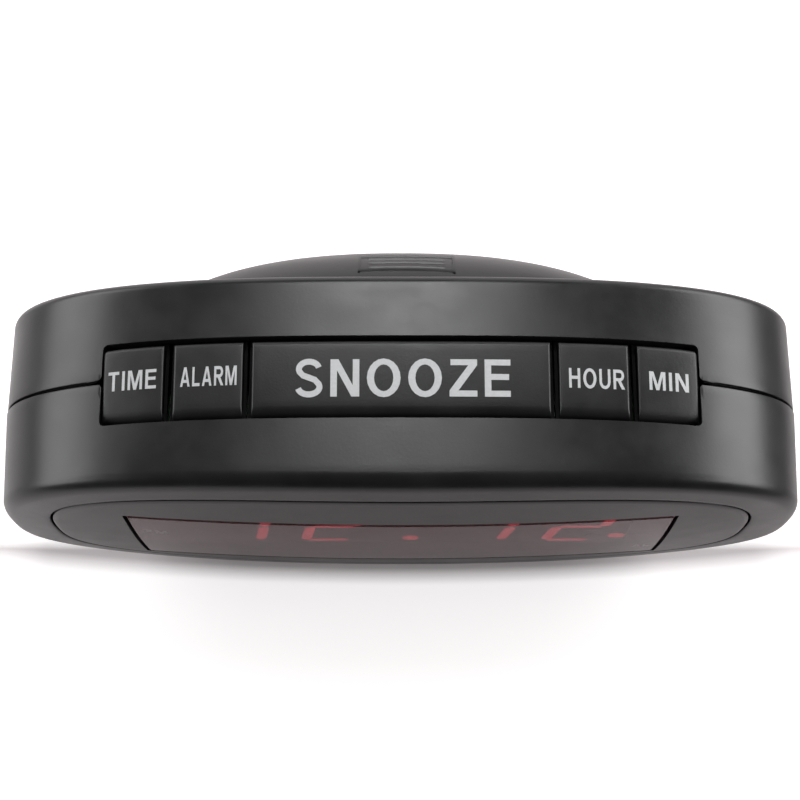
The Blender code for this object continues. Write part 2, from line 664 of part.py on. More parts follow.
def lead(name, slot, route):
    """An insulated wire along a smooth curve through the route's points."""
    radius = 0.55
    curve = bpy.data.curves.new(name, "CURVE")
    curve.dimensions = "3D"
    curve.bevel_depth = radius * MM
    curve.bevel_resolution = 2
    curve.use_fill_caps = True
    spline = curve.splines.new("POLY")
    points = smooth(route, 3)
    spline.points.add(len(points) - 1)
    for point, (x, y, z) in zip(spline.points, points):
        point.co = (x * MM, y * MM, z * MM, 1.0)
    obj = bpy.data.objects.new(name, curve)
    obj.location.z = MID_Z * MM
    curve.materials.append(material(slot))
    bpy.context.scene.collection.objects.link(obj)


def smooth(route, steps):
    """Catmull-Rom points through the route."""
    padded = [route[0], *route, route[-1]]
    points = []
    for a, b, c, d in zip(padded, padded[1:], padded[2:], padded[3:]):
        for i in range(steps):
            t = i / steps
            points.append(tuple(
                0.5 * (2 * q + (r - p) * t + (2 * p - 5 * q + 4 * r - s) * t * t
                       + (3 * q - p - 3 * r + s) * t ** 3)
                for p, q, r, s in zip(a, b, c, d)))
    return points + [route[-1]]


def make_cord_inlet():
    """Bushing in the back with a flat slot for the mains cord."""
    centre = (INLET_X, BACK_Y, INLET_Z)
    bushing = turned("cord_inlet", "rubber", centre, "Y",
                     ((-WALL - 1.0, INLET_RADIUS), (GAP, INLET_RADIUS),
                      (GAP, INLET_RADIUS + 1.2), (GAP + 1.2, INLET_RADIUS + 1.0)), 24)
    cut(bushing, block("cord_slot", None, (INLET_X - 2.6, BACK_Y - 10, INLET_Z - 1.4),
                       (INLET_X + 2.6, BACK_Y + 10, INLET_Z + 1.4)))


def make_housing_screws():
    names = ("upper_left", "upper_right", "lower_left", "lower_right")
    for name, (x, z) in zip(names, HOUSING_SCREWS):
        head = COUNTERBORE_FLOOR + GAP
        turned(f"housing_screw_{name}", "steel", (x, head, z), "Y",
               ((2.2, 2.0), (1.6, 2.7), (0, 2.7), (0, 1.35), (-14.5, 1.35), (-15.5, 0.6)), 16)


make_front_housing()
make_rear_housing()
make_bezel()
make_lens()
for key in KEYS:
    make_key(*key)
make_alarm_switch()
make_feet()
make_battery_door()
make_boards()
make_display()
make_electronics()
make_ribbon()
make_transformer()
make_battery_snap()
make_cord_inlet()
make_housing_screws()
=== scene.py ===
"""Studio scene of the alarm clock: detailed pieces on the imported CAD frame.

Shapes are worked out in millimetres from the middle of the oval case (+X right,
-Y out of the display, +Z up). mesh_object turns them into metres and lifts them
to where the CAD stands. Places come from the CAD nodes' boxes.
"""
import functools
import math

import bmesh
import bpy
import numpy as np
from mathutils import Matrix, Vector


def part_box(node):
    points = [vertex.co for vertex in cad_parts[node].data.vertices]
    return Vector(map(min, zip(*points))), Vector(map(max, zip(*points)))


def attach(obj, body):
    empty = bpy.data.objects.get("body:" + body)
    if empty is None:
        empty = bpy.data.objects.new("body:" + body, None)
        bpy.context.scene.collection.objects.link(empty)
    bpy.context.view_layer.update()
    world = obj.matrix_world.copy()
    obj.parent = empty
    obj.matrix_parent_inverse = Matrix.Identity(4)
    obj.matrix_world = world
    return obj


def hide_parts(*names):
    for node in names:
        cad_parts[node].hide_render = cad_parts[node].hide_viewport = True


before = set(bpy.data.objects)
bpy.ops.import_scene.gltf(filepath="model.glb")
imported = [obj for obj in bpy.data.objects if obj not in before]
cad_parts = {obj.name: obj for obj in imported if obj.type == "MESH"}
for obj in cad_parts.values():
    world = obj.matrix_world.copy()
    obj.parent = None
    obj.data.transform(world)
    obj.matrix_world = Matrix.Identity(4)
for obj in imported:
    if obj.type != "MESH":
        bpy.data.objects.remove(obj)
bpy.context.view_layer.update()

M_TO_MM = 1000.0
MM = 0.001
CASE_HALF_HEIGHT = 32.6
MID_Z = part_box("front_housing")[1].z * M_TO_MM - CASE_HALF_HEIGHT


def box_mm(node):
    """The node's (low, high) corners in millimetres from the middle of the case."""
    return [Vector((p.x * M_TO_MM, p.y * M_TO_MM, p.z * M_TO_MM - MID_Z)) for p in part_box(node)]


def centre_mm(node):
    low, high = box_mm(node)
    return (low + high) / 2


# --- Dimensions, the same as the CAD's ---

CASE_EXPONENT = 2.8
FRONT_LOW, FRONT_HIGH = box_mm("front_housing")
CASE_HALF_WIDTH = FRONT_HIGH.x
SEAM_Y = FRONT_HIGH.y
BASE_DROP = -FRONT_LOW.z
SEAM_SET = 0.3                # each shell's outer lip stands this far back from the parting plane
TONGUE_INSET = 1.4
TONGUE_REACH = 0.9
GROOVE_INSET = 0.8
WALL = 2.2
FRONT_TOP_RADIUS = 2.8
FRONT_BASE_RADIUS = 1.4
BACK_RADIUS = 1.9
FACE_SCALE = 0.992
REAR_SEAM_SCALE = 0.9985
BACK_SCALE = 0.997
FACE_BOW_X = 0.0007
FACE_BOW_Z = 0.0025
FACE_TOP_Z = 2.1
DOME_DEPTH = 14.0
DOME_HALF_WIDTH = 50.0
DOME_RISE = 24.0
DOME_SHOULDER_Z = 2.0
DOME_EXPONENT = 2.3
DOME_SOFTNESS = 0.2
BACK_Y = box_mm("rear_housing")[1].y - DOME_DEPTH
GAP = 0.3

BEZEL_HIGH = box_mm("front_bezel")[1]
FLANGE_REACH = 1.8
FLANGE_THICK = 1.2
BEZEL_HALF_WIDTH = BEZEL_HIGH.x - FLANGE_REACH
BEZEL_HALF_HEIGHT = BEZEL_HIGH.z - FLANGE_REACH
BEZEL_EXPONENT = 3.08
BEZEL_GAP = 0.4
BEZEL_PROUD = 0.1
LENS_LOW, LENS_HIGH = box_mm("display_lens")
FACE_Y = round(LENS_LOW.y, 1) + BEZEL_PROUD

KEYS = {name: box_mm(f"button_{name}") for name in ("time", "alarm", "snooze", "hour", "min")}
KEY_LIP = 1.0
KEY_SIDE_LIP = 0.6
KEY_LIP_THICK = 0.8
KEY_FRONT = KEYS["snooze"][0].y + KEY_LIP
KEY_BACK = KEYS["snooze"][1].y - KEY_LIP
KEY_PROUD = 0.2
KEY_THICK = 3.7
RECESS_HALF_WIDTH = KEYS["min"][1].x - KEY_SIDE_LIP + 0.3
RECESS_FRONT = KEY_FRONT - 0.5
RECESS_BACK = KEY_BACK + 0.9

AROUND = 360                  # points around the case


@functools.lru_cache(None)
def oval(half_width, half_height, exponent, drop=math.inf):
    """(x, z) points spread evenly along a superellipse that is cut off flat at z = -drop."""
    turn = np.linspace(0, 2 * math.pi, 6001)
    across, up = np.cos(turn), np.sin(turn)
    x = np.sign(across) * np.abs(across) ** (2 / exponent) * half_width
    z = np.sign(up) * np.abs(up) ** (2 / exponent) * half_height
    along = np.concatenate(([0.0], np.cumsum(np.hypot(np.diff(x), np.diff(z)))))
    at = np.linspace(0, along[-1], AROUND, endpoint=False)
    x, z = np.interp(at, along, x), np.interp(at, along, z)
    return list(zip(x.tolist(), np.maximum(z, -drop).tolist()))


def case_oval(scale=1.0, inset=0.0):
    return oval(CASE_HALF_WIDTH * scale - inset, CASE_HALF_HEIGHT * scale - inset,
                CASE_EXPONENT, BASE_DROP - inset)


def case_top(x):
    across = min(1.0, abs(x) / CASE_HALF_WIDTH)
    return CASE_HALF_HEIGHT * (1 - across ** CASE_EXPONENT) ** (1 / CASE_EXPONENT)


def case_side(z):
    up = abs(z) / CASE_HALF_HEIGHT
    return CASE_HALF_WIDTH * (1 - up ** CASE_EXPONENT) ** (1 / CASE_EXPONENT)


def face_y(x, z):
    return FACE_Y + FACE_BOW_X * x * x + FACE_BOW_Z * (z - FACE_TOP_Z) ** 2


def back_y(x, z, inset=0.0):
    across = abs(x / (DOME_HALF_WIDTH - inset)) ** DOME_EXPONENT
    up = (max(0.0, z - DOME_SHOULDER_Z) / (DOME_RISE - inset)) ** 2
    inside = max(0.0, 1 - across - up)
    soft = DOME_SOFTNESS
    height = (math.sqrt(inside + soft ** 2) - soft) / (math.sqrt(1 + soft ** 2) - soft)
    return BACK_Y - inset + DOME_DEPTH * height


# --- Mesh helpers ---

def new_object(name, data):
    obj = bpy.data.objects.new(name, data)
    bpy.context.scene.collection.objects.link(obj)
    return obj


def mesh_object(name, points, faces, sharp=35):
    """A closed mesh from points in millimetres."""
    mesh = bpy.data.meshes.new(name)
    mesh.from_pydata([(x * MM, y * MM, (z + MID_Z) * MM) for x, y, z in points], [], faces)
    work = bmesh.new()
    work.from_mesh(mesh)
    bmesh.ops.recalc_face_normals(work, faces=work.faces)
    work.to_mesh(mesh)
    work.free()
    mesh.shade_smooth()
    mesh.set_sharp_from_angle(angle=math.radians(sharp))
    return new_object(name, mesh)


def strip(first, second, count):
    return [(first + i, first + (i + 1) % count, second + (i + 1) % count, second + i)
            for i in range(count)]


def lofted(name, rings, start=None, end=None, looped=False, sharp=35):
    """Skins rings of points. start and end are tips that close it; looped joins last to first."""
    count = len(rings[0])
    points = [point for ring in rings for point in ring]
    faces = []
    for k in range(len(rings) - 1):
        faces += strip(k * count, (k + 1) * count, count)
    last = (len(rings) - 1) * count
    if looped:
        faces += strip(last, 0, count)
    elif start and end:
        points += [start, end]
        first_tip, last_tip = len(points) - 2, len(points) - 1
        faces += [(first_tip, (i + 1) % count, i) for i in range(count)]
        faces += [(last_tip, last + i, last + (i + 1) % count) for i in range(count)]
    else:
        faces += [tuple(reversed(range(count))), tuple(last + i for i in range(count))]
    return mesh_object(name, points, faces, sharp)


def grid_shell(columns, rows, upper, lower, start=0):
    """Points and faces of a closed plate; upper and lower place its two points at (i, j)."""
    points, faces = [], []
    for i in range(columns):
        for j in range(rows):
            points += [upper(i, j), lower(i, j)]

    def at(i, j, under):
        return start + 2 * (i * rows + j) + under
    for i in range(columns - 1):
        for j in range(rows - 1):
            for side in (0, 1):
                faces.append((at(i, j, side), at(i + 1, j, side), at(i + 1, j + 1, side), at(i, j + 1, side)))
        for j in (0, rows - 1):
            faces.append((at(i, j, 0), at(i + 1, j, 0), at(i + 1, j, 1), at(i, j, 1)))
    for j in range(rows - 1):
        for i in (0, columns - 1):
            faces.append((at(i, j, 0), at(i, j + 1, 0), at(i, j + 1, 1), at(i, j, 1)))
    return points, faces


def turned(name, centre, axis, profile, sides=48):
    """A solid of revolution; profile lists (distance along axis, radius)."""
    rings = []
    for along, radius in profile:
        ring = []
        for i in range(sides):
            turn = 2 * math.pi * (i + 0.5) / sides
            u, v = radius * math.cos(turn), radius * math.sin(turn)
            offset = {"X": (along, u, v), "Y": (v, along, u), "Z": (u, v, along)}[axis]
            ring.append(tuple(c + o for c, o in zip(centre, offset)))
        rings.append(ring)
    return lofted(name, rings)


def rod(name, centre, axis, radius, length, sides=48):
    """A plain cylinder from the centre of one end."""
    return turned(name, centre, axis, ((0, radius), (length, radius)), sides)


def block(name, low, high):
    (x0, y0, z0), (x1, y1, z1) = low, high
    return lofted(name, [[(x0, y0, z), (x1, y0, z), (x1, y1, z), (x0, y1, z)] for z in (z0, z1)])


def rounded_block(name, low, high, radius, steps=3):
    """A block with every edge rounded."""
    obj = block(name, low, high)
    bevel = obj.modifiers.new("round", "BEVEL")
    bevel.width = radius * MM
    bevel.segments = steps
    settle(obj)
    return obj


def settle(obj, sharp=35):
    """Applies the modifiers and removes the tools that they used."""
    tools = [m.object for m in obj.modifiers if m.type == "BOOLEAN"]
    shape = obj.evaluated_get(bpy.context.evaluated_depsgraph_get())
    mesh = bpy.data.meshes.new_from_object(shape)
    obj.modifiers.clear()
    obj.data = mesh
    mesh.shade_smooth()
    mesh.set_sharp_from_angle(angle=math.radians(sharp))
    for tool in tools:
        bpy.data.objects.remove(tool, do_unlink=True)
    return obj


def combine(obj, tool, operation):
    modifier = obj.modifiers.new(tool.name, "BOOLEAN")
    modifier.operation = operation
    modifier.solver = "EXACT"
    modifier.object = tool
    tool.hide_render = True
    return obj


def add(obj, tool):
    return combine(obj, tool, "UNION")


def cut(obj, tool):
    return combine(obj, tool, "DIFFERENCE")


def quarter(steps, stop=90.0):
    """Angles of a rounded edge, from 0 to stop degrees."""
    return [math.radians(stop) * i / steps for i in range(steps + 1)]


def piece(obj, material, body="housing", stands_for=()):
    """A visible piece: settled, with its material and body; the CAD nodes it stands for are hidden."""
    if obj.modifiers:
        settle(obj)
    obj.data.materials.clear()
    obj.data.materials.append(material)
    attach(obj, body)
    if stands_for:
        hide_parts(*stands_for)
    return obj


# --- Materials ---

def new_material(name, roughness=0.5, **sockets):
    """A Principled material; returns it, its node tree and its shader."""
    made = bpy.data.materials.new(name)
    made.use_nodes = True
    shader = made.node_tree.nodes["Principled BSDF"]
    shader.inputs["Roughness"].default_value = roughness
    for socket, value in sockets.items():
        shader.inputs[socket.replace("_", " ")].default_value = value
    return made, made.node_tree, shader


def node(tree, kind, values=(), **settings):
    made = tree.nodes.new("ShaderNode" + kind)
    for key, value in settings.items():
        setattr(made, key, value)
    for key, value in dict(values).items():
        if isinstance(value, bpy.types.NodeSocket):
            tree.links.new(value, made.inputs[key])
        else:
            made.inputs[key].default_value = value
    return made


def place(tree, scale=(1, 1, 1)):
    """Object coordinates, stretched."""
    coordinates = node(tree, "TexCoord").outputs["Object"]
    return node(tree, "Mapping", {"Vector": coordinates, "Scale": scale}).outputs["Vector"]


def noise(tree, where, size_mm, detail=2.0, rough=0.5):
    """Noise with features of about size_mm."""
    return node(tree, "TexNoise", {"Vector": where, "Scale": M_TO_MM / size_mm, "Detail": detail,
                                   "Roughness": rough}).outputs["Fac"]


def maths(tree, operation, *values):
    return node(tree, "Math", dict(enumerate(values)), operation=operation).outputs[0]


def spread(tree, value, low, high, from_low=0.3, from_high=0.7):
    return node(tree, "MapRange", {"Value": value, "From Min": from_low, "From Max": from_high,
                                   "To Min": low, "To Max": high}).outputs["Result"]


def blended(tree, factor, first, second):
    made = node(tree, "Mix", data_type="RGBA")
    tree.links.new(factor, made.inputs[0])
    made.inputs[6].default_value = (*first, 1.0)
    made.inputs[7].default_value = (*second, 1.0)
    return made.outputs[2]


def bumped(tree, shader, layers):
    """Stacks bumps; each layer is (height value, depth in millimetres)."""
    below = None
    for height, depth in layers:
        made = node(tree, "Bump", {"Height": height, "Distance": depth * MM})
        if below:
            tree.links.new(below, made.inputs["Normal"])
        below = made.outputs["Normal"]
    tree.links.new(below, shader.inputs["Normal"])


def moulded(name, dark, light, smooth, rough, grain_mm, grain_depth, **sockets):
    """Moulded plastic: fine grain, slow mottling of the gloss and faint handling smudges."""
    made, tree, shader = new_material(name, **sockets)
    where = place(tree)
    mottle = noise(tree, where, 9.0, 3.0, 0.6)
    grain = noise(tree, where, grain_mm, 2.0, 0.6)
    pit_mm = grain_mm * 1.7
    pits = node(tree, "TexVoronoi", {"Vector": where, "Scale": M_TO_MM / pit_mm}).outputs["Distance"]
    smudge = noise(tree, place(tree, (1, 2.2, 1)), 24.0, 4.0, 0.7)
    tree.links.new(blended(tree, spread(tree, mottle, 0, 1), dark, light), shader.inputs["Base Color"])
    gloss = maths(tree, "ADD", spread(tree, mottle, smooth, rough), spread(tree, smudge, -0.02, 0.03))
    tree.links.new(gloss, shader.inputs["Roughness"])
    bumped(tree, shader, ((grain, grain_depth), (pits, grain_depth * 0.6)))
    return made


CASE = moulded("case_plastic", (0.0085, 0.0085, 0.009), (0.0125, 0.0125, 0.013), 0.29, 0.35, 0.35, 0.006)
BEZEL = moulded("bezel_plastic", (0.01, 0.009, 0.0095), (0.014, 0.013, 0.0135), 0.29, 0.35, 0.5, 0.003)
KEY = moulded("key_plastic", (0.008, 0.008, 0.0085), (0.0125, 0.0125, 0.013), 0.36, 0.44, 0.28, 0.012)
# painted shade: a near-black, dull plastic for each key's lower sides and skirt, standing in for the shade in
# the gaps round the keys
KEY_PAINTED_SHADE = moulded("key_painted_shade_plastic", (0.003, 0.003, 0.003), (0.005, 0.005, 0.005), 0.6, 0.75, 0.28, 0.012,
                   Specular_IOR_Level=0.15)
INNER = moulded("component_plastic", (0.013, 0.013, 0.014), (0.022, 0.022, 0.024), 0.35, 0.5, 0.3, 0.008)


def mottled(name, tone, dark, light, smooth, rough, bump, depth, stretch=(1, 1, 1), **sockets):
    """A surface of uneven colour and gloss with a fine bump; tone and bump are noise settings."""
    made, tree, shader = new_material(name, **sockets)
    where = place(tree, stretch)
    cloud = noise(tree, where, *tone)
    tree.links.new(blended(tree, spread(tree, cloud, 0, 1), dark, light), shader.inputs["Base Color"])
    tree.links.new(spread(tree, cloud, smooth, rough), shader.inputs["Roughness"])
    bumped(tree, shader, ((noise(tree, where, *bump), depth),))
    return made


def make_segment(name, colour, glow, strength):
    """A diffusing light guide of the LED display, its colour and glow uneven in soft patches."""
    made, tree, shader = new_material(name, 0.45)
    where = place(tree)
    cloud = noise(tree, where, 1.6, 2.0)
    tint = blended(tree, spread(tree, cloud, 0, 1), [c * 0.85 for c in colour], colour)
    tree.links.new(tint, shader.inputs["Base Color"])
    light = blended(tree, spread(tree, cloud, 0, 1), [c * 0.8 for c in glow], glow)
    tree.links.new(light, shader.inputs["Emission Color"])
    shader.inputs["Emission Strength"].default_value = strength
    tree.links.new(spread(tree, cloud, 0.4, 0.55), shader.inputs["Roughness"])
    return made


def banded(name, along, pitch_mm, dark, light, low, high, depth, **sockets):
    """A surface with regular bands along an axis: wire turns, laminations or ribbon cores."""
    made, tree, shader = new_material(name, **sockets)
    where = place(tree)
    wave = node(tree, "TexWave", {"Vector": where, "Scale": M_TO_MM / (pitch_mm * 3.2), "Distortion": 0.3,
                                  "Detail": 1.0}, bands_direction=along).outputs["Fac"]
    grime = noise(tree, where, 4.0, 3.0)
    tree.links.new(blended(tree, spread(tree, grime, 0, 1), dark, light), shader.inputs["Base Color"])
    tree.links.new(spread(tree, wave, high, low, 0, 1), shader.inputs["Roughness"])
    bumped(tree, shader, ((wave, depth), (grime, 0.02)))
    return made


def make_board():
    """Green circuit board with copper tracks under the solder mask."""
    made, tree, shader = new_material("circuit_board", Coat_Weight=0.4, Coat_Roughness=0.2)
    where = place(tree)
    cells = node(tree, "TexVoronoi", {"Vector": where, "Scale": M_TO_MM / 6.0}, distance="CHEBYCHEV",
                 feature="DISTANCE_TO_EDGE").outputs["Distance"]
    tracks = spread(tree, cells, 1.0, 0.0, 0.04, 0.07)
    fibre = noise(tree, place(tree, (1, 1, 3)), 0.8, 3.0)
    base = blended(tree, tracks, (0.012, 0.07, 0.022), (0.03, 0.15, 0.045))
    tree.links.new(base, shader.inputs["Base Color"])
    tree.links.new(spread(tree, fibre, 0.35, 0.5), shader.inputs["Roughness"])
    bumped(tree, shader, ((tracks, 0.035), (fibre, 0.01)))
    return made


RUBBER = mottled("foot_rubber", (2.5, 4.0, 0.7), (0.014, 0.014, 0.014), (0.028, 0.027, 0.026),
                 0.75, 0.92, (0.4, 3.0), 0.03, Specular_IOR_Level=0.3)
INK = mottled("legend_ink", (0.5, 4.0, 0.7), (0.49, 0.5, 0.51), (0.57, 0.58, 0.59), 0.45, 0.6,
              (0.25, 2.0), 0.006)
LENS = mottled("lens_tint", (14.0, 3.0, 0.6), (0.074, 0.019, 0.023), (0.086, 0.025, 0.029), 0.1, 0.16,
               (0.4, 2.0), 0.0015, IOR=1.49, Coat_Weight=0.5, Coat_Roughness=0.15, Alpha=0.72)
DISPLAY_FACE = mottled("display_face", (3.0, 4.0, 0.7), (0.02, 0.016, 0.018), (0.032, 0.026, 0.028),
                       0.5, 0.65, (0.3, 2.0), 0.01)
STEEL = mottled("plated_steel", (1.2, 4.0, 0.65), (0.5, 0.5, 0.51), (0.62, 0.62, 0.63), 0.25, 0.4,
                (1.2, 4.0, 0.65), 0.01, stretch=(1, 6, 1), Metallic=1.0)


# --- Housings ---

def seam_radius(z):
    """The rounding of the seam's edges grows from the sides to the top."""
    return 0.15 + 0.2 * max(0.0, z / CASE_HALF_HEIGHT) ** 4


def front_edge_radius(z):
    """The rounding of the front edge shrinks from the top of the case to its base."""
    up = (z + BASE_DROP) / (CASE_HALF_HEIGHT + BASE_DROP)
    return FRONT_BASE_RADIUS + (FRONT_TOP_RADIUS - FRONT_BASE_RADIUS) * up


def rounded_ring(scale, turn, radius_at, y_at, inward=1):
    """One ring of a rounded edge of the case; inward is the direction into the shell along Y."""
    ring = []
    for (x, z), (inner_x, inner_z) in zip(case_oval(scale), case_oval(scale, 1.0)):
        radius = radius_at(z)
        inset = radius * (1 - math.cos(turn))
        edge_x, edge_z = x + (inner_x - x) * inset, z + (inner_z - z) * inset
        ring.append((edge_x, y_at(edge_x, edge_z) + inward * radius * (1 - math.sin(turn)), edge_z))
    return ring


def seam_rings(scale, y, inward):
    return [rounded_ring(scale, t, seam_radius, lambda x, z: y, inward) for t in reversed(quarter(4))]


def between(first, second, steps):
    """The rings between two rings, without the ends."""
    rings = []
    for k in range(1, steps):
        t = k / steps
        rings.append([tuple(a + (b - a) * t for a, b in zip(p, q)) for p, q in zip(first, second)])
    return rings


def on_face(outline, depth):
    return [(x, face_y(x, z) + depth, z) for x, z in outline]


def at_y(outline, y):
    return [(x, y, z) for x, z in outline]


RECESS_TOP_TURN = 75          # degrees that a rounding of the recess turns through before it runs out
RECESS_CORNER = 0.9
RECESS_FLARE = 1.1            # radius with which the opening widens at the seam


def run_out(turn):
    """Slope of a rounding's end."""
    return math.cos(turn) / math.sin(turn)


def recess_outline(grow, wall_y, seam_y):
    """Plan (x, y) of the keys' opening in one shell, from its right end round to its left end."""
    way = 1.0 if seam_y > wall_y else -1.0
    corner, flare, half = RECESS_CORNER, RECESS_FLARE, RECESS_HALF_WIDTH
    tip, past = flare - grow, 12.0

    def on_flare(turn):
        return half + flare - tip * math.cos(turn), seam_y - way * (flare - tip * math.sin(turn))
    end = math.radians(RECESS_TOP_TURN)
    last_x, last_y = on_flare(end)
    right = [(last_x + past, last_y + way * past * run_out(end))]
    right += [on_flare(turn) for turn in reversed(quarter(6, RECESS_TOP_TURN))]
    first_y, corner_y = seam_y - way * flare, wall_y + way * corner
    right += [(half + grow, first_y + (corner_y - first_y) * k / 6) for k in range(1, 6)]
    for turn in quarter(6):
        right.append((half - corner + (corner + grow) * math.cos(turn),
                      wall_y + way * (corner - (corner + grow) * math.sin(turn))))
    count = 36
    wall = [((half - corner) * (1 - 2 * k / count), wall_y - way * grow) for k in range(1, count)]
    return right + wall + [(-x, y) for x, y in reversed(right)]


def recess_cutter(name, wall_y, seam_y, rim):
    """Cutter whose top edge rounds off along the case's curve."""
    base_z, top_z, past = 18.0, 45.0, 0.35
    rings = [[(x, y, base_z) for x, y in recess_outline(0.0, wall_y, seam_y)]]
    for turn in quarter(5, RECESS_TOP_TURN):
        outline = recess_outline(rim * (1 - math.cos(turn)), wall_y, seam_y)
        rings.append([(x, y, case_top(x) + rim * (math.sin(turn) - 1)) for x, y in outline])
    steep = math.radians(RECESS_TOP_TURN)
    depth = rim * (math.sin(steep) - 1) + past * run_out(steep)
    top = recess_outline(rim * (1 - math.cos(steep)) + past, wall_y, seam_y)
    rings.append([(x, y, case_top(x) + depth) for x, y in top])
    rings.append([(x, y, top_z) for x, y in top])
    return lofted(name, rings)


SCREWS = ("upper_left", "upper_right", "lower_left", "lower_right")
POST_RADIUS = 4.0             # screw posts of both shells
POST_DEPTH = 12.0
PILOT_RADIUS = 1.7
KNOB_TRAVEL = 2.5


def screw_place(name):
    middle = centre_mm(f"housing_screw_{name}")
    return middle.x, middle.z


def foot_place(name):
    middle = centre_mm(name)
    return middle.x, middle.y


def foot_pad(name, height=4.0):
    x, y = foot_place(name)
    return turned(name + "_pad", (x, y, -BASE_DROP), "Z", ((0, 4.7), (0.3, 5.0), (height, 5.0)))


def post_rib(name, x, z):
    """Rib that ties a front post to the nearest wall."""
    low_y, high_y = SEAM_Y - POST_DEPTH, SEAM_Y - 0.5
    if z > 0:
        wall_x = math.copysign(case_side(z + 1) - WALL / 2, x)
        return block(name, (min(x, wall_x), low_y, z - 1), (max(x, wall_x), high_y, z + 1))
    return block(name, (x - 1, low_y, WALL / 2 - case_top(x)), (x + 1, high_y, z))


def make_front_housing():
    lip_y, tongue_y = SEAM_Y - SEAM_SET, SEAM_Y + TONGUE_REACH
    rings = seam_rings(1.0, lip_y, -1)
    fillet = [rounded_ring(FACE_SCALE, t, front_edge_radius, face_y) for t in quarter(10)]
    rings += between(rings[-1], fillet[0], 12) + fillet
    opening = (BEZEL_HALF_WIDTH + BEZEL_GAP, BEZEL_HALF_HEIGHT + BEZEL_GAP)
    rim = 0.35
    edge = [on_face(oval(opening[0] + rim * (1 - math.sin(t)), opening[1] + rim * (1 - math.sin(t)),
                         BEZEL_EXPONENT), rim * (1 - math.cos(t))) for t in quarter(3)]
    flat = between([(x, 0, z) for x, _, z in fillet[-1]], [(x, 0, z) for x, _, z in edge[0]], 6)
    rings += [on_face([(x, z) for x, _, z in ring], 0.0) for ring in flat] + edge
    rings.append(on_face(oval(*opening, BEZEL_EXPONENT), WALL))
    inner = on_face(case_oval(FACE_SCALE, WALL), WALL)
    tongue_inner = at_y(case_oval(inset=WALL), tongue_y)
    rings += [inner] + between(inner, tongue_inner, 4) + [tongue_inner]
    rings += [at_y(case_oval(inset=TONGUE_INSET), y) for y in (tongue_y, lip_y)]
    shell = lofted("front_shell", rings, looped=True)

    cut(shell, recess_cutter("front_recess", RECESS_FRONT, SEAM_Y, 0.25))
    for name in SCREWS:
        x, z = screw_place(name)
        add(shell, rod(f"front_post_{name}", (x, SEAM_Y - SEAM_SET, z), "Y", POST_RADIUS, -POST_DEPTH))
        add(shell, post_rib(f"front_rib_{name}", x, z))
    for name in SCREWS:
        x, z = screw_place(name)
        cut(shell, rod(f"front_hole_{name}", (x, SEAM_Y + 1, z), "Y", PILOT_RADIUS, -POST_DEPTH - 0.4))
    for name in ("foot_front_left", "foot_front_right"):
        add(shell, foot_pad(name))
    slot_pitch, slot_half, slot_front, slot_back = 3.2, 0.7, -20.0, -11.0
    for i in range(-3, 4):
        x = slot_pitch * i
        cut(shell, rounded_block(f"sound_slot_{i}", (x - slot_half, slot_front, -BASE_DROP - 2),
                                 (x + slot_half, slot_back, -BASE_DROP + 2 * WALL), 0.5))
    for side in ("left", "right"):
        x, y, _ = centre_mm(f"key_pcb_screw_{side}")
        boss = (x, y, box_mm("key_pcb")[1].z + GAP)
        add(shell, rod(f"boss_{side}", boss, "Z", 2.2, case_top(x) - WALL / 2 - boss[2]))
        cut(shell, turned(f"boss_hole_{side}", boss, "Z", ((-1, 1.2), (4.5, 1.2))))
    low, high = box_mm("alarm_switch_knob")
    inside_x, outside_x = 60.0, 80.0
    cut(shell, rounded_block("knob_slot", (inside_x, low.y - GAP, low.z - GAP),
                             (outside_x, high.y + GAP, high.z + KNOB_TRAVEL + GAP), 0.4))
    piece(shell, CASE, stands_for=["front_housing"])


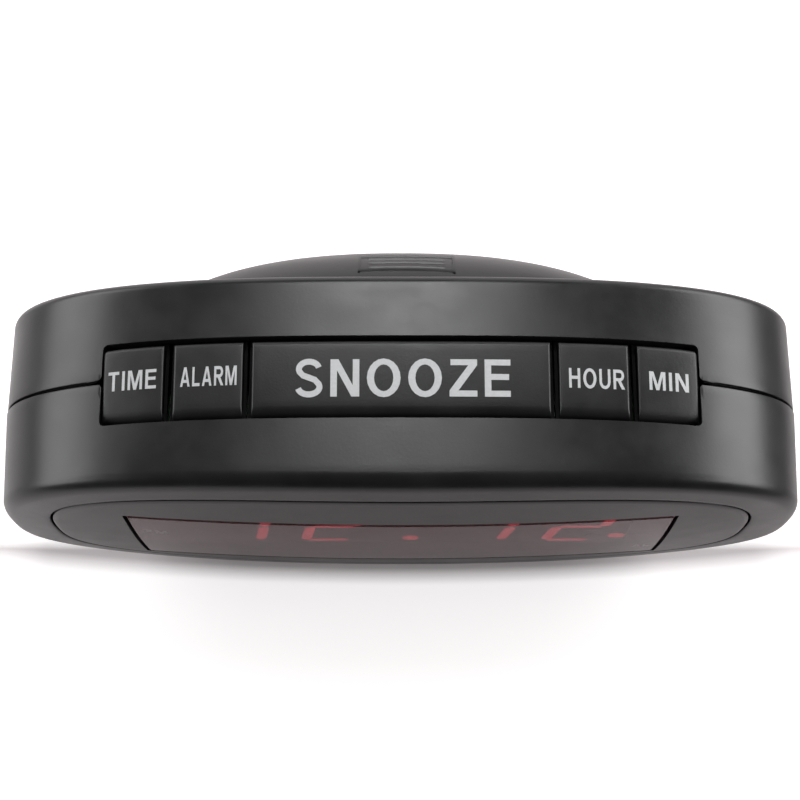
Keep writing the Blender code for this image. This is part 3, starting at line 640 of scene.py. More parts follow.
def make_rear_housing():
    seam = SEAM_Y + SEAM_SET
    inner_back = case_oval(BACK_SCALE, WALL)
    inside_steps = [i / 24 for i in range(1, 25)]
    rings = [[(x * s, back_y(x * s, z * s, WALL), z * s) for x, z in inner_back] for s in inside_steps]
    groove_y = SEAM_Y + TONGUE_REACH + 0.2
    rings.append(at_y(case_oval(REAR_SEAM_SCALE, WALL), groove_y))
    rings += [at_y(case_oval(REAR_SEAM_SCALE, GROOVE_INSET), y) for y in (groove_y, seam)]
    rings += seam_rings(REAR_SEAM_SCALE, seam, 1)
    edge = case_oval(BACK_SCALE, BACK_RADIUS)
    fillet = []
    for t in quarter(10):
        outline = case_oval(BACK_SCALE, BACK_RADIUS * (1 - math.cos(t)))
        fillet.append([(x, back_y(*near) - BACK_RADIUS * (1 - math.sin(t)), z)
                       for (x, z), near in zip(outline, edge)])
    rings += between(rings[-1], fillet[0], 12) + fillet
    outside_steps = [i / 64 for i in range(63, 0, -1)]
    rings += [[(x * s, back_y(x * s, z * s), z * s) for x, z in edge] for s in outside_steps]
    shell = lofted("rear_shell", rings, start=(0.0, back_y(0, 0, WALL), 0.0), end=(0.0, back_y(0, 0), 0.0))

    cut(shell, recess_cutter("rear_recess", RECESS_BACK, seam, 0.25))
    door_low, door_high = box_mm("battery_door")
    x0, x1 = door_low.x + 0.5, door_high.x - 0.5
    y0, y1 = door_low.y - GAP, door_high.y + GAP
    roof, wall, pin_depth, axis_inset = -1.3, 1.5, 1.2, 1.2
    axis_y, axis_z = y0 + GAP + axis_inset, -BASE_DROP + axis_inset
    add(shell, block("bay_walls", (x0 - wall, y0 - wall, -BASE_DROP + 0.4),
                     (x1 + wall, y1 + wall, roof + wall)))
    cut(shell, rounded_block("bay", (x0, y0, -BASE_DROP - 5), (x1, y1, roof), 0.5))
    cut(shell, rod("pin_holes", (x0 - pin_depth, axis_y, axis_z), "X", 1.1, x1 - x0 + 2 * pin_depth))
    cut(shell, block("lead_notch", (x0 + 1.0, y0 - 4, roof - 5), (x0 + 5.0, y0 + 2, roof - 1)))
    for name in SCREWS:
        x, z = screw_place(name)
        add(shell, rod(f"rear_post_{name}", (x, seam + 0.15, z), "Y", POST_RADIUS, BACK_Y - 1 - seam))
    for name in SCREWS:
        x, z = screw_place(name)
        cut(shell, turned(f"counterbore_{name}", (x, 0.0, z), "Y",
                          ((0, 3.2), (BACK_Y - 0.5, 3.2), (BACK_Y + 6, 9.7))))
        cut(shell, rod(f"rear_hole_{name}", (x, SEAM_Y - 3, z), "Y", PILOT_RADIUS, 9))
    for name in ("foot_rear_left", "foot_rear_right"):
        add(shell, foot_pad(name))
    middle = centre_mm("cord_inlet")
    inlet = (middle.x, BACK_Y - 8, middle.z)
    cut(shell, rod("inlet_hole", inlet, "Y", 3.6, 16))
    piece(shell, CASE, stands_for=["rear_housing"])


def make_back_panel():
    """Blank raised frame with plain ribs, moulded on top of the dome."""
    left, right, base, top = -7.8, 10.0, 19.4, 24.3
    frame_bar, rib, pitch = 0.45, 0.5, 0.6
    bars = [(left, right, base, base + frame_bar), (left, right, top - frame_bar, top),
            (left, left + frame_bar, base, top), (right - frame_bar, right, base, top)]
    bars += [(left + 2, right - 2, z, z + rib) for z in (20.9, 22.0, 23.1)]
    points, faces = [], []
    for x0, x1, z0, z1 in bars:
        across = max(2, round((x1 - x0) / pitch))
        up = max(1, round((z1 - z0) / pitch))

        def spot(i, j, lift):
            x, z = x0 + (x1 - x0) * i / across, z0 + (z1 - z0) * j / up
            return x, back_y(x, z) + lift, z
        bar_points, bar_faces = grid_shell(across + 1, up + 1, lambda i, j: spot(i, j, 0.3),
                                           lambda i, j: spot(i, j, -0.4), len(points))
        points += bar_points
        faces += bar_faces
    piece(mesh_object("dome_panel_ribs", points, faces), CASE)


# --- Bezel and lens ---

def prisms(name, outlines, low_y, high_y):
    """One object of straight solids between two planes."""
    points, faces = [], []
    for outline in outlines:
        first, count = len(points), len(outline)
        points += at_y(outline, low_y) + at_y(outline, high_y)
        faces += strip(first, first + count, count)
        faces.append(tuple(reversed(range(first, first + count))))
        faces.append(tuple(range(first + count, first + 2 * count)))
    return mesh_object(name, points, faces)


def rounded_rectangle(x0, x1, z0, z1, radius, steps=6):
    outline = []
    for cx, cz, first in ((x1 - radius, z1 - radius, 0), (x0 + radius, z1 - radius, 90),
                          (x0 + radius, z0 + radius, 180), (x1 - radius, z0 + radius, 270)):
        for k in range(steps + 1):
            turn = math.radians(first + 90 * k / steps)
            outline.append((cx + radius * math.cos(turn), cz + radius * math.sin(turn)))
    return outline


def make_bezel():
    edge_width, edge_depth = 1.2, 0.4
    shelf = WALL + GAP
    half = (BEZEL_HALF_WIDTH, BEZEL_HALF_HEIGHT)
    crown = oval(half[0] - edge_width, half[1] - edge_width, BEZEL_EXPONENT)
    steps = [i / 20 for i in range(1, 20)]
    rings = [on_face([(x * s, z * s) for x, z in crown], -BEZEL_PROUD) for s in steps]
    for t in reversed(quarter(8)):
        inset = edge_width * (1 - math.cos(t))
        rings.append(on_face(oval(half[0] - inset, half[1] - inset, BEZEL_EXPONENT),
                             edge_depth * (1 - math.sin(t)) - BEZEL_PROUD))
    body = oval(*half, BEZEL_EXPONENT)
    flange = oval(half[0] + FLANGE_REACH, half[1] + FLANGE_REACH, BEZEL_EXPONENT)
    rings += [on_face(body, shelf), on_face(flange, shelf), on_face(flange, shelf + FLANGE_THICK)]
    rings += [on_face([(x * s, z * s) for x, z in crown], shelf + FLANGE_THICK) for s in (0.9, 0.6, 0.3)]
    bezel = lofted("bezel", rings, start=(0.0, face_y(0, 0) - BEZEL_PROUD, 0.0),
                   end=(0.0, face_y(0, 0) + shelf + FLANGE_THICK, 0.0))
    board_y = box_mm("main_pcb")[0].y
    for side in ("left", "right"):
        x, _, z = centre_mm(f"main_pcb_screw_{side}")
        top = (x, board_y - GAP, z)
        depth = face_y(x, z) + shelf + FLANGE_THICK / 2 - top[1]
        add(bezel, rod(f"boss_{side}", top, "Y", 2.6, depth))
        cut(bezel, turned(f"boss_hole_{side}", top, "Y", ((1, 1.3), (-4.5, 1.3))))
    gap = 0.5
    window = rounded_rectangle(LENS_LOW.x - gap, LENS_HIGH.x + gap, LENS_LOW.z - gap, LENS_HIGH.z + gap, 0.4)
    cut(bezel, prisms("window", [window], -40, -18))
    piece(bezel, BEZEL, stands_for=["front_bezel"])


def make_lens():
    """The lens follows the face and has its front edges bevelled."""
    bevel, depth, top_gap = 0.35, 1.1, 0.4

    def spread_out(low, high, count):
        inner = [low + bevel + (high - low - 2 * bevel) * i / count for i in range(count + 1)]
        return [low] + inner + [high]
    xs = spread_out(LENS_LOW.x, LENS_HIGH.x, 64)
    zs = spread_out(LENS_LOW.z, LENS_HIGH.z - top_gap, 20)

    def front(i, j):
        at_edge = i in (0, len(xs) - 1) or j in (0, len(zs) - 1)
        return xs[i], face_y(xs[i], zs[j]) - BEZEL_PROUD + (bevel if at_edge else 0.0), zs[j]

    def back(i, j):
        return xs[i], face_y(xs[i], zs[j]) + depth, zs[j]
    lens = mesh_object("lens", *grid_shell(len(xs), len(zs), front, back), 20)
    piece(lens, LENS, stands_for=["display_lens"])


# --- Lettering ---

STEM = 0.175                  # stroke widths of a letter 1 high
BAR = 0.16


def arc(cx, cy, rx, ry, first, last, steps=10):
    turns = [math.radians(first + (last - first) * i / steps) for i in range(steps + 1)]
    return [(cx + rx * math.cos(t), cy + ry * math.sin(t)) for t in turns]


def outline_of(stroke, width):
    """The outline of a line of the given width through the stroke's points."""
    left, right = [], []
    for i, (x, y) in enumerate(stroke):
        (xa, ya), (xb, yb) = stroke[max(0, i - 1)], stroke[min(len(stroke) - 1, i + 1)]
        length = math.hypot(xb - xa, yb - ya)
        nx, ny = (ya - yb) / length * width / 2, (xb - xa) / length * width / 2
        left.append((x + nx, y + ny))
        right.append((x - nx, y - ny))
    return left + right[::-1]


def letter(sign):
    """(width, outlines) of a bold capital 1 high; inner outlines are holes."""
    s, b = STEM, BAR
    if sign == "I":
        return s, [[(0, 0), (s, 0), (s, 1), (0, 1)]]
    if sign == "L":
        return 0.62, [[(0, 0), (0.62, 0), (0.62, b), (s, b), (s, 1), (0, 1)]]
    if sign == "T":
        w = 0.7
        x0, x1 = (w - s) / 2, (w + s) / 2
        return w, [[(x0, 0), (x1, 0), (x1, 1 - b), (w, 1 - b), (w, 1), (0, 1), (0, 1 - b), (x0, 1 - b)]]
    if sign == "E":
        w, m = 0.69, 0.53
        return w, [[(0, 0), (w, 0), (w, b), (s, b), (s, m - b / 2), (w - 0.04, m - b / 2),
                    (w - 0.04, m + b / 2), (s, m + b / 2), (s, 1 - b), (w, 1 - b), (w, 1), (0, 1)]]
    if sign == "H":
        w, m = 0.76, 0.53
        return w, [[(0, 0), (s, 0), (s, m - b / 2), (w - s, m - b / 2), (w - s, 0), (w, 0), (w, 1),
                    (w - s, 1), (w - s, m + b / 2), (s, m + b / 2), (s, 1), (0, 1)]]
    if sign == "N":
        w, d = 0.77, s * 1.2
        return w, [[(0, 0), (s, 0), (s, 0.7), (w - d, 0), (w, 0), (w, 1), (w - s, 1), (w - s, 0.3),
                    (d, 1), (0, 1)]]
    if sign == "M":
        w, d, m = 0.93, s * 1.4, 0.93 / 2
        leg = s * 0.95
        return w, [[(0, 0), (leg, 0), (leg, 0.76), (m - s * 0.5, 0), (m + s * 0.5, 0), (w - leg, 0.76),
                    (w - leg, 0), (w, 0), (w, 1), (w - d, 1), (m, 0.3), (d, 1), (0, 1)]]
    if sign == "Z":
        w, d = 0.74, s * 1.35
        return w, [[(0, 0), (w, 0), (w, b), (d, b), (w, 1 - b), (w, 1), (0.03, 1), (0.03, 1 - b),
                    (w - d, 1 - b), (0, b)]]
    if sign == "A":
        w, m, t = 0.8, 0.4, s * 0.56
        return w, [[(0, 0), (s * 1.05, 0), (0.235, 0.2), (w - 0.235, 0.2), (w - s * 1.05, 0), (w, 0),
                    (m + t, 1), (m - t, 1)], [(0.285, 0.35), (w - 0.285, 0.35), (m, 0.77)]]
    if sign in "PR":
        w, low, mid = 0.74, 0.41, 0.44
        bowl = arc(mid, (1 + low) / 2, w - mid, (1 - low) / 2, -90, 90)
        hole = arc(mid, (1 + low) / 2, w - mid - s, (1 - low) / 2 - b, -90, 90)
        leg = [] if sign == "P" else [(0.3, low), (w - s * 1.02, 0), (w + 0.04, 0), (0.52, low + 0.01)]
        start = [(0, 0), (s, 0), (s, low)] + leg
        return w, [start + bowl + [(0, 1)], [(s, low + b)] + hole + [(s, 1 - b)]]
    if sign == "O":
        w, over = 0.9, 0.02
        return w, [arc(w / 2, 0.5, w / 2, 0.5 + over, 0, 342, 19),
                   arc(w / 2, 0.5, w / 2 - s * 1.1, 0.5 + over - b, 0, 342, 19)]
    if sign == "U":
        w, r = 0.76, 0.36
        return w, [[(0, 1)] + arc(w / 2, r, w / 2, r + 0.02, 180, 360) + [(w, 1), (w - s, 1)]
                   + arc(w / 2, r, w / 2 - s, r + 0.02 - b, 360, 180) + [(s, 1)]]
    w = 0.75                  # S
    r = 0.25
    upper = arc(w / 2, 0.74, w / 2 - s / 2 - 0.02, r - 0.05, 12, 200, 14)
    lower = arc(w / 2, 0.26, w / 2 - s / 2, r - 0.05, 20, -168, 14)
    spine = [(w / 2 - 0.16, 0.57), (w / 2 + 0.16, 0.45)]
    return w, [outline_of(upper + spine + lower, BAR)]


def lettering(name, text, width, height, centre, lay, body, spacing=0.2, thick=0.06):
    """Words as thin ink slabs; lay puts flat (x, y) points on the surface at a lift above it."""
    curve = bpy.data.curves.new(name, "CURVE")
    curve.dimensions = "2D"
    curve.fill_mode = "BOTH"
    curve.extrude = 0.5
    at = 0.0
    outlines = []
    for sign in text:
        wide, loops = letter(sign)
        outlines += [[(x + at, y) for x, y in loop] for loop in loops]
        at += wide + spacing
    total = at - spacing
    for loop in outlines:
        spline = curve.splines.new("POLY")
        spline.points.add(len(loop) - 1)
        for point, (x, y) in zip(spline.points, loop):
            point.co = ((x / total - 0.5) * width, (y - 0.5) * height, 0, 1)
        spline.use_cyclic_u = True
    flat = bpy.data.objects.new(name, curve)
    mesh = bpy.data.meshes.new_from_object(flat)
    bpy.data.objects.remove(flat)
    work = bmesh.new()
    work.from_mesh(mesh)
    bmesh.ops.remove_doubles(work, verts=work.verts, dist=1e-5)
    for direction, extent, step in ((Vector((1, 0, 0)), width, 0.7), (Vector((0, 1, 0)), height, 1.1)):
        for k in range(int(extent / step)):
            geometry = work.verts[:] + work.edges[:] + work.faces[:]
            bmesh.ops.bisect_plane(work, geom=geometry, plane_co=direction * (step * (k + 0.5) - extent / 2),
                                   plane_no=direction, dist=1e-5)
    for vert in work.verts:
        lift = thick if vert.co.z > 0 else -thick
        x, y, z = lay(vert.co.x + centre[0], vert.co.y + centre[1], lift)
        vert.co = (x * MM, y * MM, (z + MID_Z) * MM)
    bmesh.ops.recalc_face_normals(work, faces=work.faces)
    work.to_mesh(mesh)
    work.free()
    mesh.shade_flat()
    return piece(new_object(name, mesh), INK, body)


# --- Keys ---

KEY_LEAN = 0.045              # slope of a key's top at its back edge
KEY_CROWN = 0.003             # how fast the slope grows towards the front


def key_top(x, y=None):
    """Height of a key's top; it leans forward and is a little crowned."""
    back = 0.0 if y is None else KEY_BACK - y
    return case_top(x) + KEY_PROUD - KEY_LEAN * back - KEY_CROWN * back * back


def rounded_steps(low, high, low_radius, high_radius, count):
    """Places from low to high with close steps round each edge, and how far each one drops."""
    round_off = [(1 - math.cos(t), 1 - math.sin(t)) for t in quarter(8)]
    places = [(low + along * low_radius, drop * low_radius) for along, drop in round_off]
    first, last = low + low_radius, high - high_radius
    places += [(first + (last - first) * i / count, 0.0) for i in range(1, count)]
    return places + [(high - along * high_radius, drop * high_radius) for along, drop in reversed(round_off)]


def round_outer_corners(key, outer_x, radius):
    """Pulls in the two corners at a key's outer end, seen from above."""
    side = math.copysign(1.0, outer_x)
    for vert in key.data.vertices:
        x, y = vert.co.x * M_TO_MM, vert.co.y * M_TO_MM
        near = min(y - KEY_FRONT, KEY_BACK - y)
        if near < radius:
            pull = radius - math.sqrt(radius ** 2 - (radius - max(near, 0.0)) ** 2)
            weight = max(0.0, 1 - (outer_x - x) * side / 3)
            vert.co.x -= side * pull * weight * MM


def grid_solid(name, xs, ys, top, bottom):
    """A closed solid over a plan grid; top and bottom give the height at (i, j)."""
    points, faces = grid_shell(len(xs), len(ys), lambda i, j: (xs[i], ys[j], top(i, j)),
                               lambda i, j: (xs[i], ys[j], bottom(i, j)))
    return mesh_object(name, points, faces, 40)


def make_key(name):
    low, high = KEYS[name]
    x0, x1 = low.x + KEY_SIDE_LIP, high.x - KEY_SIDE_LIP
    middle = (x0 + x1) / 2
    side_radius, front_radius, back_radius, corner_radius = 0.45, 1.9, 0.9, 1.1
    columns = rounded_steps(x0, x1, side_radius, side_radius, max(10, round((x1 - x0) / 1.2)))
    rows = rounded_steps(KEY_FRONT, KEY_BACK, front_radius, back_radius, 10)

    def top(i, j):
        (x, side_drop), (y, end_drop) = columns[i], rows[j]
        return key_top(x, y) - max(side_drop, end_drop, 0.9 * math.hypot(side_drop, end_drop))
    key = grid_solid(f"key_cap_{name}", [x for x, _ in columns], [y for y, _ in rows], top,
                     lambda i, j: key_top(columns[i][0]) - KEY_THICK + KEY_LIP_THICK / 2)
    if name in ("time", "min"):
        round_outer_corners(key, x0 if name == "time" else x1, corner_radius)
    skirt_x = [low.x + (high.x - low.x) * i / 24 for i in range(25)]
    skirt_y = [low.y, (low.y + high.y) / 2, high.y]
    add(key, grid_solid(f"skirt_{name}", skirt_x, skirt_y,
                        lambda i, j: key_top(skirt_x[i]) - KEY_THICK + KEY_LIP_THICK,
                        lambda i, j: key_top(skirt_x[i]) - KEY_THICK))
    plunger_top = box_mm(f"switch_plunger_{name}")[1].z
    foot = (middle, (KEY_FRONT + KEY_BACK) / 2, plunger_top + GAP)
    height = key_top(middle) - KEY_THICK + 1.5 - foot[2]
    add(key, turned(f"post_{name}", foot, "Z", ((0, 2.2), (0.2, 2.4), (height, 2.4))))
    settle(key, 40)
    piece(key, KEY, f"key_{name}", [f"button_{name}"])
    # painted shade: faces lower than the drop below the key's top take the near-black material
    key.data.materials.append(KEY_PAINTED_SHADE)
    for face in key.data.polygons:
        x, y, z = face.center * M_TO_MM
        if z - MID_Z < key_top(x, y) - PAINTED_SHADE_DROP:
            face.material_index = 1

    wide, tall, aside, back = LEGENDS[name]
    centre = (middle + aside, (KEY_FRONT + KEY_BACK) / 2 + back)
    lettering(f"legend_{name}", name.upper(), wide, tall, centre,
              lambda x, y, lift: (x, y, key_top(x, y) + lift * 0.5), f"key_{name}")


PAINTED_SHADE_DROP = 1.2               # painted shade: a key's faces further than this below its top are made near-black
LEGENDS = {                   # width, height, shift to the right, shift to the back
    "time": (8.7, 3.47, -0.12, 0.7),
    "alarm": (9.9, 3.45, 0.15, 0.68),
    "snooze": (37.3, 6.6, 0.26, -0.04),
    "hour": (9.7, 3.5, 0.38, 0.25),
    "min": (7.15, 3.3, 0.1, 0.41),
}


# --- Small outer parts ---

def make_knob():
    low, high = box_mm("alarm_switch_knob")
    knob = rounded_block("alarm_knob", low, high, 0.4)
    for i in range(4):
        z = low.z + 1.0 + i
        cut(knob, rod(f"knob_groove_{i}", (high.x + 0.1, low.y - 1, z), "Y", 0.32, high.y - low.y + 2, 16))
    piece(knob, KEY, "alarm_slider", ["alarm_switch_knob"])


def make_feet():
    for name in ("foot_front_left", "foot_front_right", "foot_rear_left", "foot_rear_right"):
        low, high = box_mm(name)
        x, y = foot_place(name)
        height = high.z - low.z
        foot = turned(name + "_pad", (x, y, low.z), "Z",
                      ((0, 2.2), (0.0, 3.1), (0.08, 3.5), (0.25, 3.8), (0.45, 3.95), (0.6, 4.0),
                       (height - 0.1, 4.0), (height, 3.9)))
        cut(foot, turned(name + "_dimple", (x, y, low.z - 1), "Z",
                         ((0, 1.6), (1.0, 1.5), (1.25, 1.2)), 32))
        piece(foot, RUBBER, stands_for=[name])


def make_battery_door():
    low, high = box_mm("battery_door")
    x0, x1 = low.x + 0.8, high.x - 0.8
    half = (high.z - low.z) / 2
    axis_y, axis_z = low.y + half, low.z + half
    rear = high.y
    section = [(rear, axis_z - half + 0.3), (rear - 0.3, axis_z - half)]
    turns = [math.pi * 1.5 - math.pi * i / 16 for i in range(17)]
    section += [(axis_y + half * math.cos(t), axis_z + half * math.sin(t)) for t in turns]
    section += [(rear - 0.3, axis_z + half), (rear, axis_z + half - 0.3)]
    door = lofted("battery_cover", [[(x, y, z) for y, z in section] for x in (x0, x1)])
    add(door, turned("pins", (low.x, axis_y, axis_z), "X", ((0, 0.7), (0.1, 0.8), (high.x - low.x - 0.1, 0.8),
                                                           (high.x - low.x, 0.7))))
    cut(door, turned("notch", (-6.0, rear - 2.2, -BASE_DROP), "X",
                     ((0, 1.0), (0.2, 1.2), (11.8, 1.2), (12.0, 1.0))))
    for i in range(5):
        y, half_width = rear - 5.2 - 1.3 * i, 7.0 - 0.9 * i
        cut(door, rounded_block(f"grip_{i}", (-half_width, y - 0.3, low.z - 1),
                                (half_width, y + 0.3, low.z + 0.45), 0.25))
    piece(door, CASE, "battery_cover", ["battery_door"])


def make_screws():
    for name in SCREWS:
        low, high = box_mm(f"housing_screw_{name}")
        x, z = screw_place(name)
        top = high.y
        profile = [(-17.7, 0.3), (-16.8, 1.0)]
        depth = -16.6
        while depth < -3.0:
            profile += [(depth, 1.05), (depth + 0.25, 1.35), (depth + 0.5, 1.05)]
            depth += 1.0
        profile += [(-2.2, 1.1), (-2.2, 2.6), (-2.0, 2.7), (-1.1, 2.7), (-0.5, 2.45), (-0.15, 1.9),
                    (0.0, 1.2)]
        screw = turned(f"case_screw_{name}", (x, top, z), "Y", profile, 32)
        for i, (wide, tall) in enumerate(((1.5, 0.35), (0.35, 1.5))):
            slot = []
            for y, taper in ((top - 1.6, 0.45), (top + 0.3, 1.0)):
                a, b = wide * taper, tall * taper
                slot.append([(x - a, y, z - b), (x + a, y, z - b), (x + a, y, z + b), (x - a, y, z + b)])
            cut(screw, lofted(f"cross_{name}_{i}", slot))
        piece(screw, STEEL, stands_for=[f"housing_screw_{name}"])


def make_cord_inlet():
    low, high = box_mm("cord_inlet")
    x, _, z = centre_mm("cord_inlet")
    inner, outer = 3.3, (high.x - low.x) / 2
    lip = high.y - BACK_Y
    profile = [(low.y - BACK_Y, inner - 0.3), (low.y - BACK_Y + 0.3, inner), (GAP, inner), (GAP, outer - 0.1),
               (GAP + 0.2, outer), (lip - 0.55, outer - 0.05), (lip - 0.2, outer - 0.35), (lip, outer - 1.0)]
    bushing = turned("inlet_bushing", (x, BACK_Y, z), "Y", profile)
    slot = rounded_rectangle(x - 2.6, x + 2.6, z - 1.4, z + 1.4, 1.3)
    cut(bushing, prisms("cord_slot", [slot], BACK_Y - 10, BACK_Y + 10))
    piece(bushing, RUBBER, stands_for=["cord_inlet"])


# --- LED display ---

LEAN = math.tan(math.radians(8.5))
DIGIT_MIDDLE_Z = -1.2
DIGIT_HALF = 11.5             # from the middle to the outer edge of the top and bottom segments
UPRIGHT_SEGMENT = 1.95        # width of the upright segments
LEVEL_SEGMENT = 1.3           # height of the level segments
DIGIT_CENTRES = (-30.0, -12.6, 16.7, 34.0)
DIGIT_SPREAD = 4.3            # from a digit's centre to the centre of its upright segments
LIT = {"1": "bc", "2": "abged"}
DOT_RADIUS = 1.6
DOTS = ((1.9, -10.5), (3.9, 5.0), (41.6, -8.4))      # the colon and the alarm's light


def segment_outlines(centre):
    """The seven segments a to g of a digit as (name, outline) in the plane of the display."""
    wide, top = DIGIT_SPREAD, DIGIT_HALF - LEVEL_SEGMENT / 2
    gap = 0.28

    def bar(x0, z0, x1, z1):
        half = (LEVEL_SEGMENT if z0 == z1 else UPRIGHT_SEGMENT) / 2
        length = math.hypot(x1 - x0, z1 - z0)
        ux, uz = (x1 - x0) / length, (z1 - z0) / length
        first, last = gap, length - gap
        corners = ((first, 0), (first + half, half), (last - half, half),
                   (last, 0), (last - half, -half), (first + half, -half))
        return [(x0 + ux * along - uz * aside, z0 + uz * along + ux * aside) for along, aside in corners]
    ends = {
        "a": (-1, 1, 1, 1), "d": (-1, -1, 1, -1), "g": (-1, 0, 1, 0), "b": (1, 0, 1, 1),
        "c": (1, -1, 1, 0), "f": (-1, 0, -1, 1), "e": (-1, -1, -1, 0),
    }
    shapes = {key: bar(x0 * wide, z0 * top, x1 * wide, z1 * top) for key, (x0, z0, x1, z1) in ends.items()}
    return {key: [(centre + x + z * LEAN, DIGIT_MIDDLE_Z + z) for x, z in shape]
            for key, shape in shapes.items()}


def make_display():
    low, high = box_mm("display_module")
    front = low.y
    module = rounded_block("display_block", low, high, 0.3)
    piece(module, DISPLAY_FACE, stands_for=["display_module"])

    lit = [[(x + DOT_RADIUS * math.cos(t), z + DOT_RADIUS * math.sin(t)) for t in
            (2 * math.pi * i / 28 for i in range(28))] for x, z in DOTS]
    unlit = []
    for digit, centre in zip("1212", DIGIT_CENTRES):
        for key, outline in segment_outlines(centre).items():
            (lit if key in LIT[digit] else unlit).append(outline)
    bright = make_segment("segment_lit", (0.4, 0.05, 0.06), (1.0, 0.1, 0.13), 2.6)
    # painted glow: the unlit segments get a faint red emission though they are off
    dark = make_segment("segment_unlit_painted_glow", (0.05, 0.03, 0.033), (0.1, 0.03, 0.03), 0.1)
    for name, outlines, material in (("display_lit_segments", lit, bright),
                                     ("display_dark_segments", unlit, dark)):
        piece(prisms(name, outlines, front - 0.1, front + 0.3), material)


def make_lens_marks():
    def lay(x, z, lift):
        return x, face_y(x, z) - lift * 0.4, z
    lettering("mark_pm", "PM", 4.5, 2.4, (-45.6, 3.4), lay, "housing")
    lettering("mark_alarm", "AL", 3.4, 2.4, (46.4, -9.4), lay, "housing")


# --- Inner nodes keep their CAD shape and get detailed materials ---

def dress_inner_nodes():
    board = make_board()
    laminations = banded("steel_laminations", "Z", 0.5, (0.25, 0.25, 0.26), (0.36, 0.35, 0.34),
                         0.35, 0.55, 0.08, Metallic=1.0)
    coil = banded("coil_winding", "Z", 0.7, (0.36, 0.12, 0.035), (0.5, 0.2, 0.06), 0.25, 0.5, 0.12,
                  Coat_Weight=0.5)
    sleeve = banded("capacitor_sleeve", "Y", 3.4, (0.03, 0.045, 0.15), (0.045, 0.065, 0.2), 0.25, 0.4, 0.02,
                    Coat_Weight=0.4)
    ribbon = banded("ribbon_insulation", "X", 1.27, (0.3, 0.3, 0.32), (0.42, 0.42, 0.44), 0.45, 0.6, 0.15)
    red = moulded("red_insulation", (0.32, 0.012, 0.01), (0.45, 0.02, 0.015), 0.35, 0.5, 0.4, 0.01)
    black = moulded("black_insulation", (0.012, 0.012, 0.012), (0.02, 0.02, 0.02), 0.35, 0.5, 0.4, 0.01)
    chosen = {
        "main_pcb": board, "key_pcb": board, "transformer_core": laminations, "transformer_coil": coil,
        "capacitor_large": sleeve, "capacitor_small": sleeve, "ribbon_cable": ribbon,
        "battery_lead_red": red, "battery_lead_black": black, "slide_switch_body": STEEL,
    }
    for name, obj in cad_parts.items():
        if obj.hide_render:
            continue
        if name in chosen:
            material = chosen[name]
        else:
            material = STEEL if "screw" in name or "plunger" in name else INNER
        for slot in obj.material_slots:
            slot.material = material


# --- Studio ---

def make_floor():
    """White paper with painted light and shade. For camera rays it glows white everywhere but a thin strip
    along the clock's front foot, painted light over the clock's shadow; on its left it glows faintly for all
    other rays, a painted glow that the case reflects; it is painted darker to the right and far left, painted
    shade that the case reflects.
    """
    size = 3.0
    corners = [(-size, -size, 0), (size, -size, 0), (size, size, 0), (-size, size, 0)]
    mesh = bpy.data.meshes.new("floor")
    mesh.from_pydata(corners, [], [(0, 1, 2, 3)])
    made, tree, shader = new_material("floor_paper", 0.9, Specular_IOR_Level=0.1)
    apart = node(tree, "SeparateXYZ", {"Vector": place(tree)})
    across, along = apart.outputs["X"], apart.outputs["Y"]
    cloud = noise(tree, place(tree), 300.0, 3.0)
    # painted shade: the paper is darker to the right and far left
    right_shade = spread(tree, across, 0, 1, 0.12, 0.18)
    left_shade = spread(tree, across, 0.6, 0, -0.35, -0.15)
    shade = maths(tree, "ADD", maths(tree, "ADD", right_shade, left_shade), spread(tree, cloud, 0, 0.03))
    paper = blended(tree, shade, (0.84, 0.785, 0.795), (0.16, 0.155, 0.155))
    tree.links.new(paper, shader.inputs["Base Color"])
    front_edge = maths(tree, "MULTIPLY_ADD", maths(tree, "MULTIPLY", across, across), 0.7, -0.0253)
    in_front = spread(tree, maths(tree, "SUBTRACT", front_edge, along), 0.0, 0.6, 0.0, 0.0035)
    behind = spread(tree, along, 0.0, 0.6, -0.0215, -0.0195)
    # painted light: a glow seen only by the camera, except near the clock's front foot
    seen = node(tree, "LightPath").outputs["Is Camera Ray"]
    painted_light_to_camera = maths(tree, "MULTIPLY", seen, maths(tree, "MAXIMUM", in_front, behind))
    # painted glow on the left, for light that reaches the clock
    painted_glow_left = spread(tree, across, 0.3, 0.0, -0.1, -0.055)
    to_clock = maths(tree, "SUBTRACT", 1.0, seen)
    glow = maths(tree, "MULTIPLY_ADD", painted_glow_left, to_clock, painted_light_to_camera)
    shader.inputs["Emission Color"].default_value = (1.0, 1.0, 1.0, 1.0)
    tree.links.new(glow, shader.inputs["Emission Strength"])
    mesh.materials.append(made)
    new_object("floor", mesh)


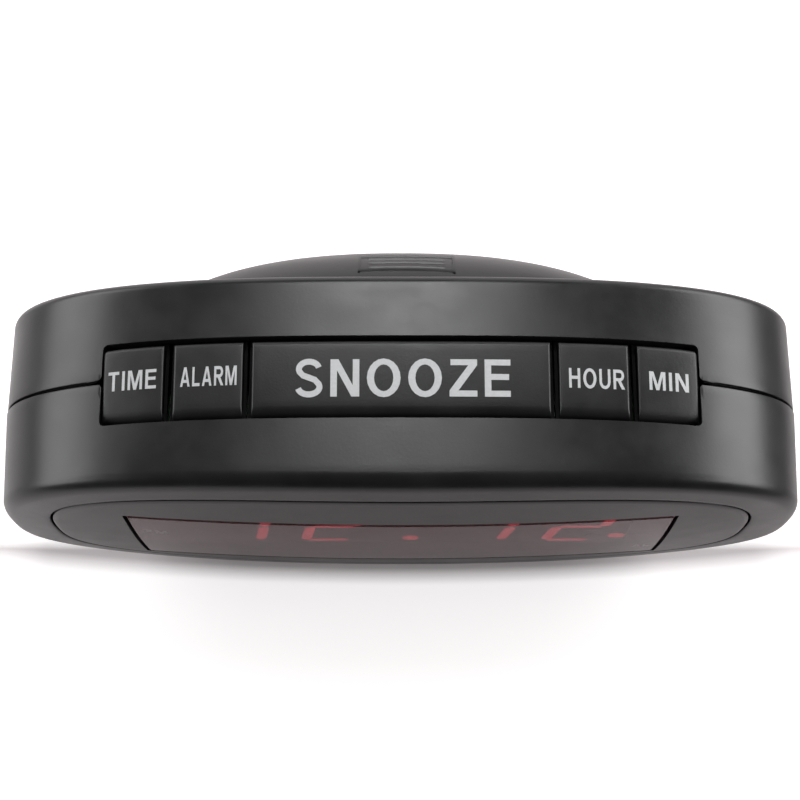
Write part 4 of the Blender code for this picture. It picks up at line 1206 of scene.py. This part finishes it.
def area_light(name, where, aim, width, height, radiance):
    light = bpy.data.lights.new(name, "AREA")
    light.shape = "RECTANGLE"
    light.size = width
    light.size_y = height
    light.energy = radiance * math.pi * width * height
    obj = new_object(name, light)
    obj.visible_camera = False
    obj.location = where
    obj.rotation_euler = (Vector(aim) - Vector(where)).to_track_quat("-Z", "Y").to_euler()


def make_world():
    """Dim room; the camera sees it as a pale backdrop."""
    world = bpy.data.worlds.new("studio")
    world.use_nodes = True
    tree = world.node_tree
    background = tree.nodes["Background"]
    seen = node(tree, "LightPath").outputs["Is Camera Ray"]
    strength = node(tree, "Mix", {0: seen, 2: 0.02, 3: 0.9}, data_type="FLOAT").outputs[0]
    background.inputs["Color"].default_value = (1.0, 1.0, 1.0, 1.0)
    tree.links.new(strength, background.inputs["Strength"])
    bpy.context.scene.world = world


def make_studio():
    make_floor()
    make_world()
    middle = (0.0, 0.0, 0.03)
    area_light("overhead_box", (0.0, 0.42, 0.855), middle, 0.18, 0.42, 12.4)
    area_light("left_box", (-0.9, 0.2, 0.46), middle, 1.6, 0.5, 4.3)
    area_light("right_box", (0.9, 0.2, 0.44), middle, 1.6, 0.52, 5.9)
    area_light("back_box", (0.0, 1.1, 0.25), middle, 1.6, 0.5, 1.2)
    bpy.context.scene.view_settings.view_transform = "Standard"


def make_camera():
    target = Vector((0.0, 0.00196, 0.02884))
    rise = math.radians(72)
    distance = 0.318
    camera = bpy.data.cameras.new("camera")
    camera.lens = 73.26
    camera.sensor_width = 36.0
    camera.shift_x = -0.00075
    camera.clip_start = 0.01
    obj = new_object("camera", camera)
    obj.location = target + distance * Vector((0.0, -math.cos(rise), math.sin(rise)))
    obj.rotation_euler = (math.radians(90) - rise, 0.0, 0.0)
    bpy.context.scene.camera = obj


make_camera()
make_studio()
make_front_housing()
make_rear_housing()
make_back_panel()
make_bezel()
make_lens()
for key_name in KEYS:
    make_key(key_name)
make_knob()
make_feet()
make_battery_door()
make_screws()
make_cord_inlet()
make_display()
make_lens_marks()
dress_inner_nodes()
